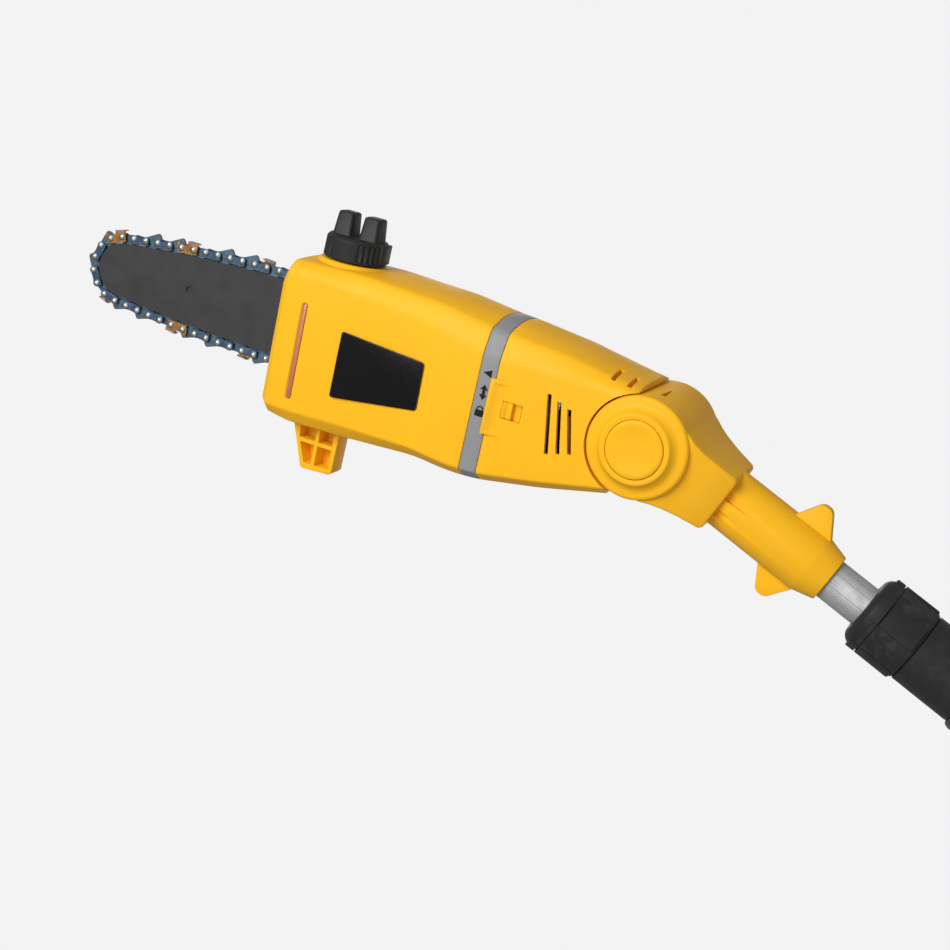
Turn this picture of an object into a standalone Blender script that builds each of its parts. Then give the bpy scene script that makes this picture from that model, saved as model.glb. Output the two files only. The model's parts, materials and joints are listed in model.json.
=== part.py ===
"""A telescoping pole saw: a corded saw head on a tilting motor unit, carried by a two-part pole.

World frame: metres, +X along the pole towards the user, +Y to the guide bar's side, +Z up. The origin
is on the pole's axis in the middle of the rear grip. The saw head and the motor unit are modelled in the
head frame, whose origin is the tilt pivot and whose +X runs back along the drooping head.
"""

import bpy
import bmesh
from math import atan2, cos, pi, radians, sin
from mathutils import Matrix, Vector

# ---------------------------------------------------------------- driving dimensions, in metres
GAP = 0.0003  # between pieces that touch
WALL = 0.0028  # moulded shells
ROUND = 32  # sides of a large turned piece
SMALL = 16  # sides of a small turned piece

# Pole, measured along its axis from the tilt pivot
HEAD_DROOP = radians(22)  # the head hangs this far below the pole's line
INNER_TUBE_RADIUS = 0.013
INNER_TUBE_WALL = 0.0015
INNER_TUBE_START = 0.078
TUBE_CLEARANCE = 0.0011  # between the inner and the outer tube
OUTER_TUBE_WALL = 0.0014
OUTER_TUBE_RADIUS = INNER_TUBE_RADIUS + TUBE_CLEARANCE + OUTER_TUBE_WALL
OUTER_TUBE_START = 0.1825
OUTER_TUBE_LENGTH = 0.92
OUTER_TUBE_END = OUTER_TUBE_START + OUTER_TUBE_LENGTH
INNER_TUBE_END = OUTER_TUBE_END - 0.1625  # with the pole pushed together

# Neck that holds the tilt joint at the top of the inner tube
DRUM_RADIUS = 0.0315
DRUM_HALF_WIDTH = 0.0385
DRUM_WALL = 0.003
NECK_END = 0.0575
# Along the pole: half width, half height and corner chamfer of the neck's block
NECK_STATIONS = [
    (0.004, DRUM_HALF_WIDTH - 0.0020, 0.0300, 0.003),
    (0.026, DRUM_HALF_WIDTH - 0.0033, 0.0232, 0.0035),
    (NECK_END, 0.0243, 0.0190, 0.0035),
]
NECK_TUBE_RADIUS = INNER_TUBE_RADIUS + 0.0063
NECK_TUBE_END = 0.121
NECK_CONE_END = 0.134
NECK_CONE_RADIUS = INNER_TUBE_RADIUS + 0.0023
GROOVE_DEPTH = 0.0025  # in the sides of the round neck
GROOVE_HEIGHT = 0.0032
GROOVE_LENGTH = 0.021
NECK_POSTS = [(0.048, 0.0145)]
NECK_SCREW_SEAT = 0.0185
WING_THICKNESS = 0.007
WING_REACH = 0.034
PIVOT_PIN_RADIUS = 0.006
PIVOT_PIN_START = -0.0122
BRACKET_HALF = 0.0115  # half the width of the motor unit's arm
BRACKET_EYE_RADIUS = 0.0185
BUTTON_RADIUS = 0.0178
BUTTON_HEIGHT = 0.0105
BUTTON_FACE = -DRUM_HALF_WIDTH - 0.0060
BUTTON_COLLAR_HEIGHT = 0.0052  # raised seat round the button, above the drum's face

# Case of the saw head and the motor unit, along the head from the pivot
HEAD_FRONT = -0.248
JOINT_FACE = -0.105  # where the head meets the motor unit's ring
RING_WIDTH = 0.011
MOTOR_REAR = -0.007
MOTOR_CHIN = -0.0135  # the case ends earlier below the joint
DRUM_CLEARANCE = 0.0008
SPIGOT_RADIUS = 0.030
SPIGOT_LENGTH = 0.011
LUG_HEIGHT = 0.003
BULKHEAD = 0.004  # wall that carries the motor's front bearing
NOSE_EDGE = 0.0035  # rounding of the case's front edge
POST_RADIUS = 0.0045
SCREW_RADIUS = 0.0017
SCREW_BORE = 0.0020
SCREW_HEAD_RADIUS = 0.0036
SCREW_HEAD_HEIGHT = 0.0022
SCREW_SINK = 0.0039
HEAD_POSTS = [(-0.186, 0.0425), (-0.186, -0.0400)]
MOTOR_POSTS = [(-0.047, -0.0330), (-0.047, 0.0318)]
MOTOR_SCREW_SEAT = 0.0315
MOTOR_CAVITY_END = -0.0365
VENT_U = -0.0590
VENT_STEP = 0.0070
VENT_LEAN = 0.0062
VENT_HALF = 0.0011
TOP_VENTS = (-0.0250, -0.0145)
LATCH_WINDOW_U = (-0.0864, -0.0734)
LATCH_WINDOW_W = (-0.0064, 0.0046)
LABEL_CORNERS = [(-0.1992, 0.0170), (-0.1412, 0.0125), (-0.1405, -0.0180), (-0.1995, -0.0260)]
LABEL_SPAN = (-0.0401, -0.0394)

# Cutting gear
BAR_PLANE = 0.019  # the middle of the bar, out from the case's middle
BAR_THICKNESS = 0.004
BAR_HALF_HEIGHT = 0.0258
BAR_NOSE_RADIUS = 0.0183
BAR_TIP = -0.4172
BAR_ROOT = -0.280  # where the bar starts to taper
BAR_TAIL = -0.178
BAR_TAIL_HALF = 0.018
BAR_RISE = 0.001  # the bar's line above the case's middle line
BAR_PAD = (-0.224, -0.180)
BAR_PAD_HALF = 0.012
OILER_U = BAR_TIP + 0.0737  # hole through the bar
OILER_RADIUS = 0.0026
CHAIN_THICKNESS = 0.0064
CHAIN_HEIGHT = 0.0074
CHAIN_PITCH = 0.00953
CUTTER_HEIGHT = 0.0028
SPROCKET_U = -0.158
SPROCKET_TEETH = 6
SPROCKET_RADIUS = 0.0165
SPROCKET_ROOT = 0.0120
TENSION_TRAVEL = 0.0025
TENSION_SCREW_RADIUS = 0.0025
TENSION_SCREW_Y = 0.0055
STUD_U = -0.196
STUD_RADIUS = 0.004
PEG_U = -0.212
PEG_W = -0.016
PEG_RADIUS = 0.002
NUT_SPAN = (0.0313, 0.0385)
NUT_RADIUS = 0.0085
NUT_POCKET = 0.0098
COVER_POST = 0.0115
COVER_PLANE = 0.014  # outer face of the case behind the bar
COVER_REAR = -0.1195

# Drive
PINION_TEETH = 9
GEAR_TEETH = 27
GEAR_RADIUS = 0.02025
GEAR_FACE = 0.006
GEAR_BACK = -0.0135
TOOTH_ADDENDUM = 0.0013
SHAFT_RADIUS = 0.005
SHAFT_END = -0.0285
SHAFT_BEARING_RADIUS = SHAFT_RADIUS + 0.0040
SHAFT_BUSH_RADIUS = SHAFT_RADIUS + 0.0032
PINION_BEARING = (-0.1292, -0.1245)
PINION_SHAFT_END = -0.1140
BEARING_RADIUS = 0.0109
MOTOR_SHAFT_RADIUS = 0.004
REAR_BEARING = (-0.0455, -0.0418)
REAR_BEARING_RADIUS = 0.0100
DOG_RADII = (0.0062, 0.0110)
DOG_SWEEP = 27  # degrees
STATOR_RADIUS = 0.0318
STATOR_FLAT = 0.0308
STATOR_BORE = 0.0195
ARMATURE_RADIUS = 0.0185

# Oil system
CAP_U = -0.2165
CAP_Y = -0.004
CAP_RADIUS = 0.0205
CAP_BASE = 0.0552
CAP_SKIRT = 0.0155
CAP_LUG = 0.0145
CAP_CHAMFER = 0.0015
FILLER_RADIUS = 0.011
FILLER_ROOM = FILLER_RADIUS + 0.0005
WINDOW_U = -0.2285
WINDOW_SPAN = (-0.036, 0.0265)
WINDOW_HALF = 0.0013

# Twist lock and grips, along the pole from the pivot
THREAD_RADIUS = OUTER_TUBE_RADIUS + 0.0035
COLLAR_START = 0.160
COLLAR_END = 0.1965
COLLAR_RADIUS = INNER_TUBE_RADIUS + 0.0106
COLLAR_SEAT = 0.0055  # depth of the collar's front wall
COLLAR_PADS = 4
COLLAR_PAD_TURN = 154  # degrees
COLLAR_PAD_SWEEP = 20
HUB_END = 0.236
HUB_RADIUS = INNER_TUBE_RADIUS + 0.0098
COLLET_START = COLLAR_START + 0.0068
COLLET_TIP_RADIUS = INNER_TUBE_RADIUS + 0.0018
COLLET_RADIUS = INNER_TUBE_RADIUS + 0.0042
FOAM_END = 0.56
FOAM_RADIUS = OUTER_TUBE_RADIUS + 0.0100

# Rear handle, along the pole from the pivot; the outer tube ends inside its socket
HANDLE_START = OUTER_TUBE_END - 0.0575
GRIP_TO_PIVOT = HANDLE_START + 0.170  # from the middle of the rear grip to the tilt pivot
HANDLE_SOCKET_END = HANDLE_START + 0.067
HANDLE_SOCKET_RADIUS = OUTER_TUBE_RADIUS + 0.0080
HANDLE_END = HANDLE_START + 0.340
HANDLE_HALF_WIDTH = 0.019
HANDLE_EDGE = 0.0055
HANDLE_TOP = 0.021
HANDLE_BOTTOM = -0.078
LOOP_START = HANDLE_START + 0.093
LOOP_END = HANDLE_START + 0.273
LOOP_TOP = -0.0175
LOOP_BOTTOM = -0.064
LOOP_CORNER = 0.011
HANDLE_POSTS = [
    (HANDLE_START + 0.077, 0.0085),
    (HANDLE_START + 0.255, 0.0085),
    (HANDLE_START + 0.195, -0.0710),
]
TRIGGER_X = HANDLE_START + 0.092
TRIGGER_PIN = -0.0155
TRIGGER_PIN_RADIUS = 0.0013
TRIGGER_HALF_WIDTH = 0.0062
LOCK_OFF_X = HANDLE_START + 0.147
LOCK_OFF_HALF_LENGTH = 0.009
LOCK_OFF_HALF_WIDTH = 0.005
INLET_SPAN = (-0.045, -0.013)
INLET_HALF_WIDTH = 0.0130

YELLOW = ("yellow_plastic", (0.93, 0.49, 0.02), 0.42, 0.0)
BLACK = ("black_plastic", (0.018, 0.018, 0.019), 0.48, 0.0)
GREY = ("grey_plastic", (0.33, 0.33, 0.34), 0.45, 0.0)
RUBBER = ("black_foam", (0.022, 0.022, 0.024), 0.85, 0.0)
STEEL = ("steel", (0.50, 0.51, 0.53), 0.32, 1.0)
BAR_STEEL = ("black_bar_steel", (0.035, 0.035, 0.037), 0.40, 0.6)
CHAIN_STEEL = ("blued_chain_steel", (0.06, 0.09, 0.14), 0.32, 0.9)
ALUMINIUM = ("silver_aluminium", (0.66, 0.66, 0.67), 0.35, 1.0)
COPPER = ("copper_winding", (0.60, 0.28, 0.12), 0.35, 0.9)
TANK = ("translucent_tank", (0.75, 0.60, 0.45), 0.35, 0.0)
WINDOW = ("oil_window", (0.45, 0.11, 0.05), 0.25, 0.0)
BLACK_LABEL = ("black_label", (0.012, 0.012, 0.012), 0.25, 0.0)

# ---------------------------------------------------------------- modelling helpers


def new_mesh_object(bm, name="helper"):
    """Turns a bmesh into an object in the scene, with its faces pointing out."""
    bmesh.ops.recalc_face_normals(bm, faces=bm.faces)
    mesh = bpy.data.meshes.new(name)
    bm.to_mesh(mesh)
    bm.free()
    made = bpy.data.objects.new(name, mesh)
    bpy.context.scene.collection.objects.link(made)
    return made


def bridged(loops):
    """A solid through equal loops of points, closed by a face at each end."""
    bm = bmesh.new()
    rows = [[bm.verts.new(point) for point in loop] for loop in loops]
    count = len(rows[0])
    for low, high in zip(rows, rows[1:]):
        for i in range(count):
            j = (i + 1) % count
            bm.faces.new((low[i], low[j], high[j], high[i]))
    bm.faces.new(rows[0])
    bm.faces.new(rows[-1])
    return new_mesh_object(bm)


def prism(outline, low, high, axis="Y"):
    """An outline in the plane across an axis, extruded along it. Outline axes keep the X, Y, Z order."""
    place = {
        "X": lambda a, b, t: (t, a, b),
        "Y": lambda a, b, t: (a, t, b),
        "Z": lambda a, b, t: (a, b, t),
    }[axis]
    return bridged([[place(a, b, t) for a, b in outline] for t in (low, high)])


def block(x, y, z):
    """A box from its three (low, high) ranges."""
    return prism([(x[0], z[0]), (x[1], z[0]), (x[1], z[1]), (x[0], z[1])], y[0], y[1])


def turned(profile, axis="X", centre=(0, 0, 0), sides=ROUND, turn=0.0):
    """A solid of revolution from a closed profile of (along, radius); radius 0 lies on the axis."""
    bm = bmesh.new()
    angles = [turn + 2 * pi * k / sides for k in range(sides)]
    place = {
        "X": lambda t, r, a: (t, r * cos(a), r * sin(a)),
        "Y": lambda t, r, a: (r * sin(a), t, r * cos(a)),
        "Z": lambda t, r, a: (r * cos(a), r * sin(a), t),
    }[axis]
    middle = Vector(centre)
    rows = []
    for along, radius in profile:
        if radius == 0:
            rows.append([(along, bm.verts.new(Vector(place(along, 0, 0)) + middle))] * sides)
        else:
            rows.append([(along, bm.verts.new(Vector(place(along, radius, a)) + middle)) for a in angles])
    for low, high in zip(rows, rows[1:] + rows[:1]):
        flat = low[0][0] == high[0][0]
        if flat and low[0] is low[1]:
            bm.faces.new([vert for _, vert in high])
            bm.verts.remove(low[0][1])
            continue
        if flat and high[0] is high[1]:
            bm.faces.new([vert for _, vert in low])
            bm.verts.remove(high[0][1])
            continue
        if low[0] is low[1] and high[0] is high[1]:
            continue
        for i in range(sides):
            j = (i + 1) % sides
            corners = list(dict.fromkeys((low[i][1], low[j][1], high[j][1], high[i][1])))
            if len(corners) > 2:
                bm.faces.new(corners)
    return new_mesh_object(bm)


def rod(low, high, radius, axis="X", centre=(0, 0, 0), sides=SMALL):
    return turned([(low, 0), (low, radius), (high, radius), (high, 0)], axis, centre, sides)


def ring(low, high, inner, outer, axis="X", centre=(0, 0, 0), sides=ROUND):
    profile = [(low, inner), (low, outer), (high, outer), (high, inner)]
    return turned(profile, axis, centre, sides)


def arc(centre, radius, start, end, count):
    """Points on an arc in a plane, from one angle to another in degrees."""
    angles = [radians(start + (end - start) * k / count) for k in range(count + 1)]
    return [(centre[0] + radius * cos(a), centre[1] + radius * sin(a)) for a in angles]


def spring(low, high, radius, wire, turns, axis="Z", centre=(0, 0, 0)):
    """An open coil of square wire between two planes across an axis."""
    steps = 9 * turns
    middle = Vector(centre)
    order = {"X": (2, 0, 1), "Y": (1, 2, 0), "Z": (0, 1, 2)}[axis]
    loops = []
    for k in range(steps + 1):
        a = 2 * pi * turns * k / steps
        rise = low + wire + (high - low - 2 * wire) * k / steps
        loop = []
        for dr, dz in ((-1, -1), (1, -1), (1, 1), (-1, 1)):
            r = radius + dr * wire / 2
            point = (r * cos(a), r * sin(a), rise + dz * wire / 2)
            loop.append(middle + Vector([point[n] for n in order]))
        loops.append(loop)
    return bridged(loops)


def boolean(target, tool, operation, solver="EXACT"):
    """Joins, cuts or intersects a solid with another, and removes the other."""
    modifier = target.modifiers.new("boolean", "BOOLEAN")
    modifier.object = tool
    modifier.operation = operation
    modifier.solver = solver
    graph = bpy.context.evaluated_depsgraph_get()
    mesh = bpy.data.meshes.new_from_object(target.evaluated_get(graph))
    target.modifiers.clear()
    target.data = mesh
    bpy.data.objects.remove(tool)
    return target


def join(target, *tools):
    for tool in tools:
        boolean(target, tool, "UNION")
    return target


def cut(target, *tools):
    for tool in tools:
        boolean(target, tool, "DIFFERENCE")
    return target


def keep(target, tool):
    return boolean(target, tool, "INTERSECT")


def copy_of(shape):
    twin = bpy.data.objects.new("helper", shape.data.copy())
    bpy.context.scene.collection.objects.link(twin)
    return twin


def halves(shape):
    """Splits a shell at its middle plane into the near half and the far half."""
    far = copy_of(shape)
    reach = 2.0
    near = keep(shape, block((-reach, reach), (-reach, -GAP / 2), (-reach, reach)))
    far = keep(far, block((-reach, reach), (GAP / 2, reach), (-reach, reach)))
    return near, far


def moved(shape, matrix):
    shape.data.transform(matrix)
    return shape


materials = {}


def material(finish):
    name, colour, roughness, metallic = finish
    if name not in materials:
        made = bpy.data.materials.new(name)
        made.use_nodes = True
        shader = made.node_tree.nodes["Principled BSDF"]
        shader.inputs["Base Color"].default_value = (*colour, 1)
        shader.inputs["Roughness"].default_value = roughness
        shader.inputs["Metallic"].default_value = metallic
        materials[name] = made
    return materials[name]


def part(shape, name, finish, frame, at=(0, 0, 0)):
    """Names a solid, gives it its finish and its own origin, and hangs it on its frame."""
    shape.name = name
    shape.data.name = name
    shape.data.transform(Matrix.Translation(-Vector(at)))
    shape.parent = frame
    shape.location = at
    shape.data.materials.clear()
    shape.data.materials.append(material(finish))
    shape.data.shade_smooth()
    shape.data.set_sharp_from_angle(angle=radians(35))
    return shape


def new_frame(name, location=(0, 0, 0), turn=0.0, parent=None):
    made = bpy.data.objects.new(name, None)
    made.location = location
    made.rotation_euler = (0, turn, 0)
    made.parent = parent
    bpy.context.scene.collection.objects.link(made)
    return made


# ---------------------------------------------------------------- the case's outer form


def section(u, half_width, top, crown, shoulder, skirt, bottom):
    """One loop across the case. crown and bottom are (across, height) corners, the rest are heights."""
    arch = (0.55 * crown[0], top - 0.25 * (top - crown[1]))
    side = [arch, crown, (half_width, shoulder), (half_width, skirt), bottom]
    points = [(0, top)] + side + [(-y, w) for y, w in reversed(side)]
    return u, points


def case_sections():
    """The saw head and the motor unit share one form, from the nose to the tilt joint."""
    return [
        section(HEAD_FRONT, 0.038, 0.0525, (0.032, 0.051), 0.045, -0.043, (0.031, -0.0488)),
        section(-0.229, 0.038, 0.0535, (0.032, 0.052), 0.045, -0.0435, (0.031, -0.0522)),
        section(-0.192, 0.038, 0.055, (0.0325, 0.0525), 0.043, -0.0425, (0.030, -0.0515)),
        section(-0.140, 0.0387, 0.0545, (0.0333, 0.0498), 0.037, -0.0420, (0.0285, -0.0490)),
        section(-0.119, 0.0392, 0.0525, (0.0335, 0.0465), 0.032, -0.0445, (0.0275, -0.0515)),
        section(JOINT_FACE, 0.0395, 0.0512, (0.0335, 0.0440), 0.029, -0.0450, (0.0270, -0.0518)),
        section(-0.094, 0.0395, 0.0505, (0.0335, 0.0435), 0.029, -0.0445, (0.0265, -0.0510)),
        section(-0.055, 0.0390, 0.0455, (0.0325, 0.0405), 0.0295, -0.0380, (0.0275, -0.0440)),
        section(MOTOR_REAR, 0.0385, 0.0352, (0.0310, 0.0330), 0.0295, -0.0280, (0.0300, -0.0325)),
    ]


def section_at(u):
    """The case's loop at any place along it."""
    known = case_sections()
    for (u0, low), (u1, high) in zip(known, known[1:]):
        if u <= u1 or (u1, high) == known[-1]:
            t = (u - u0) / (u1 - u0)
            return u, [(a[0] + t * (b[0] - a[0]), a[1] + t * (b[1] - a[1])) for a, b in zip(low, high)]
    return known[-1]


def case_solid(start, end, inset=0.0, nose=False):
    """The solid case between two stations, drawn in by a wall. A nose rounds off its front edge."""
    stations = [(start, 0.0)]
    if nose:
        stations = [(start, NOSE_EDGE), (start + NOSE_EDGE / 3, NOSE_EDGE / 3), (start + NOSE_EDGE, 0.0)]
    inner = [(u, 0.0) for u, _ in case_sections() if stations[-1][0] + 0.001 < u < end - 0.001]
    loops = []
    for u, shrink in stations + inner + [(end, 0.0)]:
        _, points = section_at(u)
        width = max(y for y, _ in points)
        height = max(abs(w) for _, w in points)
        draw_in = inset + shrink
        across, up = 1 - draw_in / width, 1 - draw_in / height
        loops.append([(u, y * across, w * up) for y, w in points])
    return bridged(loops)


# ---------------------------------------------------------------- saw head


def build_head_shells(frame):
    rear = JOINT_FACE - GAP
    shell = case_solid(HEAD_FRONT, rear, nose=True)
    cavity = case_solid(HEAD_FRONT + WALL, rear - WALL - 0.0004, inset=WALL)
    behind_bar = block((-1, COVER_REAR + GAP + WALL), (COVER_PLANE - 0.0025, 1), (-1, 1))
    cut(cavity, behind_bar)
    cut(cavity, block((PINION_BEARING[0] + 0.0004, PINION_BEARING[1] - 0.0004), (-1, 1), (-1, 1)))
    cut(shell, cavity)
    recess = block((-1, COVER_REAR + GAP), (COVER_PLANE, 1), (-1, 1))
    cut(shell, recess)
    # Posts that the screws clamp, behind the cover
    for u, w in HEAD_POSTS:
        join(shell, rod(-0.0365, COVER_PLANE - 0.0005, POST_RADIUS, "Y", (u, 0, w), 12))
        cut(shell, rod(-0.030, 1, SCREW_BORE, "Y", (u, 0, w), 10))
        cut(shell, rod(COVER_PLANE - 0.003, 1, SCREW_SINK, "Y", (u, 0, w), 12))
    # Bore for the pinion's bearing, and the bush for the sprocket shaft's inner end
    cut(shell, rod(-0.135, JOINT_FACE - 0.005, BEARING_RADIUS + GAP, "X", sides=24))
    join(shell, rod(-0.0367, SHAFT_END + 0.009, SHAFT_BUSH_RADIUS, "Y", (SPROCKET_U, 0, 0), SMALL))
    cut(shell, rod(SHAFT_END - 0.0006, 0, SHAFT_RADIUS + GAP, "Y", (SPROCKET_U, 0, 0), SMALL))
    # Pad that the bar is clamped against, and the raised ring under the oil cap
    pad_face = BAR_PLANE - BAR_THICKNESS / 2 - GAP
    join(shell, block(BAR_PAD, (COVER_PLANE - 0.002, pad_face), (-BAR_PAD_HALF, BAR_PAD_HALF)))
    join(shell, keep(filler_boss(), block((-1, 1), (-1, COVER_PLANE), (-1, 1))))
    slot_low, slot_high = WINDOW_SPAN
    slot_half = WINDOW_HALF + GAP
    cut(shell, block((WINDOW_U - slot_half, WINDOW_U + slot_half), (-0.045, -0.030), (slot_low, slot_high)))
    cut(shell, rod(0.04, 0.07, FILLER_ROOM, "Z", (CAP_U, CAP_Y, 0), 24))
    bore = rod(rear - 0.006, rear + 0.002, SPIGOT_RADIUS + 0.0006, "X", sides=ROUND)
    for k in range(3):
        reach = SPIGOT_RADIUS + LUG_HEIGHT + 0.0005
        notch = block((rear - 0.006, rear + 0.002), (-0.0092, 0.0092), (0, reach))
        join(bore, moved(notch, Matrix.Rotation(radians(120 * k), 4, "X")))
    cut(shell, bore)
    cut(shell, rod(0.005, 0.03, SHAFT_BEARING_RADIUS + GAP, "Y", (SPROCKET_U, 0, 0), 24))
    cut(shell, rod(0.005, 0.03, STUD_RADIUS + GAP, "Y", (STUD_U, 0, BAR_RISE), SMALL))
    peg_room = PEG_RADIUS + TENSION_TRAVEL + 0.001
    cut(shell, block((PEG_U - peg_room, PEG_U + peg_room), (0.005, 0.03), (PEG_W - 0.0026, PEG_W + 0.0026)))
    cut(shell, rod(HEAD_FRONT - 0.01, HEAD_FRONT + 0.01, 0.0031, "X", (0, TENSION_SCREW_Y, PEG_W), SMALL))
    near, far = halves(shell)
    part(near, "head_shell_left", YELLOW, frame)
    part(far, "head_shell_right", YELLOW, frame)


def filler_boss():
    """The raised round seat of the oil cap, on top of the case."""
    return ring(0.0500, CAP_BASE, FILLER_ROOM, CAP_RADIUS + 0.0012, "Z", (CAP_U, CAP_Y, 0))


def build_sprocket_cover(frame):
    cover = case_solid(HEAD_FRONT, COVER_REAR, nose=True)
    keep(cover, block((-1, COVER_REAR - GAP), (COVER_PLANE + GAP, 1), (-1, 1)))
    hollow = case_solid(HEAD_FRONT + WALL, COVER_REAR + 0.01, inset=WALL)
    keep(hollow, block((-1, COVER_REAR - GAP - WALL), (0, 1), (-1, 1)))
    join(cover, keep(filler_boss(), block((-1, 1), (COVER_PLANE + GAP, 1), (-1, 1))))
    post = rod(BAR_PLANE + BAR_THICKNESS / 2 + GAP, 0.037, COVER_POST, "Y", (STUD_U, 0, BAR_RISE), 24)
    cut(hollow, post)
    cut(cover, hollow)
    mouth = BAR_HALF_HEIGHT + CHAIN_HEIGHT + CUTTER_HEIGHT + 0.002
    heights = (BAR_RISE - mouth, BAR_RISE + mouth)
    cut(cover, block((HEAD_FRONT - 0.05, HEAD_FRONT + 0.02), (0, BAR_PLANE + 0.0055), heights))
    cut(cover, rod(NUT_SPAN[0] - GAP, 1, NUT_POCKET, "Y", (STUD_U, 0, BAR_RISE), 24))
    cut(cover, rod(0, 1, STUD_RADIUS + GAP, "Y", (STUD_U, 0, BAR_RISE), SMALL))
    part(cover, "sprocket_cover", YELLOW, frame)
    nut = rod(*NUT_SPAN, NUT_RADIUS, "Y", (STUD_U, 0, BAR_RISE), 6)
    cut(nut, rod(0, 1, STUD_RADIUS + GAP, "Y", (STUD_U, 0, BAR_RISE), SMALL))
    part(nut, "cover_nut", STEEL, frame, (STUD_U, 0.035, BAR_RISE))
    head, shoulder, end = 0.0090, 0.0112, NUT_SPAN[1] - 0.001
    head_radius = STUD_RADIUS + 0.0022
    profile = [(head, 0), (head, head_radius), (shoulder, head_radius)]
    profile += [(shoulder, STUD_RADIUS), (end, STUD_RADIUS), (end, 0)]
    stud = turned(profile, "Y", (STUD_U, 0, BAR_RISE), SMALL)
    part(stud, "bar_stud", STEEL, frame, (STUD_U, 0.014, BAR_RISE))


def bar_half_height(u):
    """Half the bar's height, bowed from its root to the start of its round nose."""
    if u >= BAR_ROOT:
        return BAR_HALF_HEIGHT
    s = min(1.0, (BAR_ROOT - u) / (BAR_ROOT - BAR_TIP - BAR_NOSE_RADIUS))
    return BAR_NOSE_RADIUS + (BAR_HALF_HEIGHT - BAR_NOSE_RADIUS) * (1 - s**1.8)


def bar_outline(grow=0.0):
    """The bar's outline from its tail along the top, round the nose and back, let out by a margin."""
    nose = BAR_TIP + BAR_NOSE_RADIUS
    taper = [BAR_ROOT + (nose - BAR_ROOT) * share for share in (0, 0.25, 0.5, 0.75)]
    top = [(u, bar_half_height(u) + grow) for u in (-0.19, -0.235, *taper)]
    round_nose = arc((nose, 0), BAR_NOSE_RADIUS + grow, 90, 270, 12)
    low = [(u, -w) for u, w in reversed(top)]
    return [(u, w + BAR_RISE) for u, w in top + round_nose + low]


def chain_loops():
    """The chain's inner and outer lines, as matched points along its whole loop."""
    bar = bar_outline(GAP)
    inner_radius = SPROCKET_RADIUS + TENSION_TRAVEL + 2 * GAP
    tail = arc((SPROCKET_U, BAR_RISE), inner_radius, -88, 88, 12)
    inner = [Vector(p) for p in bar + tail]
    lengths = [0.0]
    for a, b in zip(inner, inner[1:] + inner[:1]):
        lengths.append(lengths[-1] + (b - a).length)
    count = 2 * round(lengths[-1] / CHAIN_PITCH)
    pairs = []
    for k in range(count):
        along = lengths[-1] * k / count
        i = max(n for n in range(len(inner)) if lengths[n] <= along)
        a, b = inner[i], inner[(i + 1) % len(inner)]
        share = (along - lengths[i]) / (lengths[i + 1] - lengths[i])
        point = a + (b - a) * share
        before = inner[i - 1]
        after = inner[(i + 2) % len(inner)]
        tangent = ((b - before).normalized() * (1 - share) + (after - a).normalized() * share).normalized()
        outward = Vector((tangent.y, -tangent.x))
        height = CHAIN_HEIGHT + (CUTTER_HEIGHT if k % 8 in (1, 2) else 0)
        pairs.append((point, point + outward * height))
    return pairs


def build_bar_set(frame):
    tail = [(BAR_TAIL, BAR_RISE - BAR_TAIL_HALF), (BAR_TAIL, BAR_RISE + BAR_TAIL_HALF)]
    outline = bar_outline() + tail
    bar = prism(outline, BAR_PLANE - BAR_THICKNESS / 2, BAR_PLANE + BAR_THICKNESS / 2)
    room = STUD_RADIUS + GAP
    slot = arc((STUD_U - 0.004, 0), room, 90, 270, 6) + arc((STUD_U + 0.008, 0), room, -90, 90, 6)
    cut(bar, prism([(u, w + BAR_RISE) for u, w in slot], 0, 0.04))
    cut(bar, rod(0, 0.04, PEG_RADIUS + GAP, "Y", (PEG_U, 0, PEG_W), 12))
    cut(bar, rod(0, 0.04, OILER_RADIUS, "Y", (OILER_U, 0, BAR_RISE), 12))
    part(bar, "guide_bar", BAR_STEEL, frame, (STUD_U, BAR_PLANE, BAR_RISE))

    bm = bmesh.new()
    half = CHAIN_THICKNESS / 2
    rows = []
    for inner, outer in chain_loops():
        corners = ((inner, -half), (outer, -half), (outer, half), (inner, half))
        rows.append([bm.verts.new((p.x, BAR_PLANE + y, p.y)) for p, y in corners])
    for low, high in zip(rows, rows[1:] + rows[:1]):
        for i in range(4):
            j = (i + 1) % 4
            bm.faces.new((low[i], low[j], high[j], high[i]))
    part(new_mesh_object(bm), "saw_chain", CHAIN_STEEL, frame, (STUD_U, BAR_PLANE, BAR_RISE))

    peg = rod(0.0095, BAR_PLANE + 0.0015, PEG_RADIUS, "Y", (PEG_U, 0, PEG_W), 12)
    join(peg, block((PEG_U - 0.004, PEG_U + 0.004), (0.0012, 0.0098), (PEG_W - 0.005, PEG_W + 0.005)))
    centre = (0, TENSION_SCREW_Y, PEG_W)
    cut(peg, rod(PEG_U - 0.01, PEG_U + 0.01, TENSION_SCREW_RADIUS + GAP, "X", centre, 12))
    part(peg, "tension_peg", STEEL, frame, (PEG_U, TENSION_SCREW_Y, PEG_W))

    screw = rod(HEAD_FRONT + 0.001, PEG_U + 0.012, TENSION_SCREW_RADIUS, "X", centre, 12)
    behind_wall = HEAD_FRONT + WALL
    join(screw, rod(behind_wall + GAP, behind_wall + 0.003, TENSION_SCREW_RADIUS + 0.002, "X", centre, 12))
    across = (TENSION_SCREW_Y - 0.0005, TENSION_SCREW_Y + 0.0005)
    cut(screw, block((-1, HEAD_FRONT + 0.0022), across, (PEG_W - 0.01, PEG_W + 0.01)))
    part(screw, "tension_screw", STEEL, frame, (HEAD_FRONT, TENSION_SCREW_Y, PEG_W))


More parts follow.
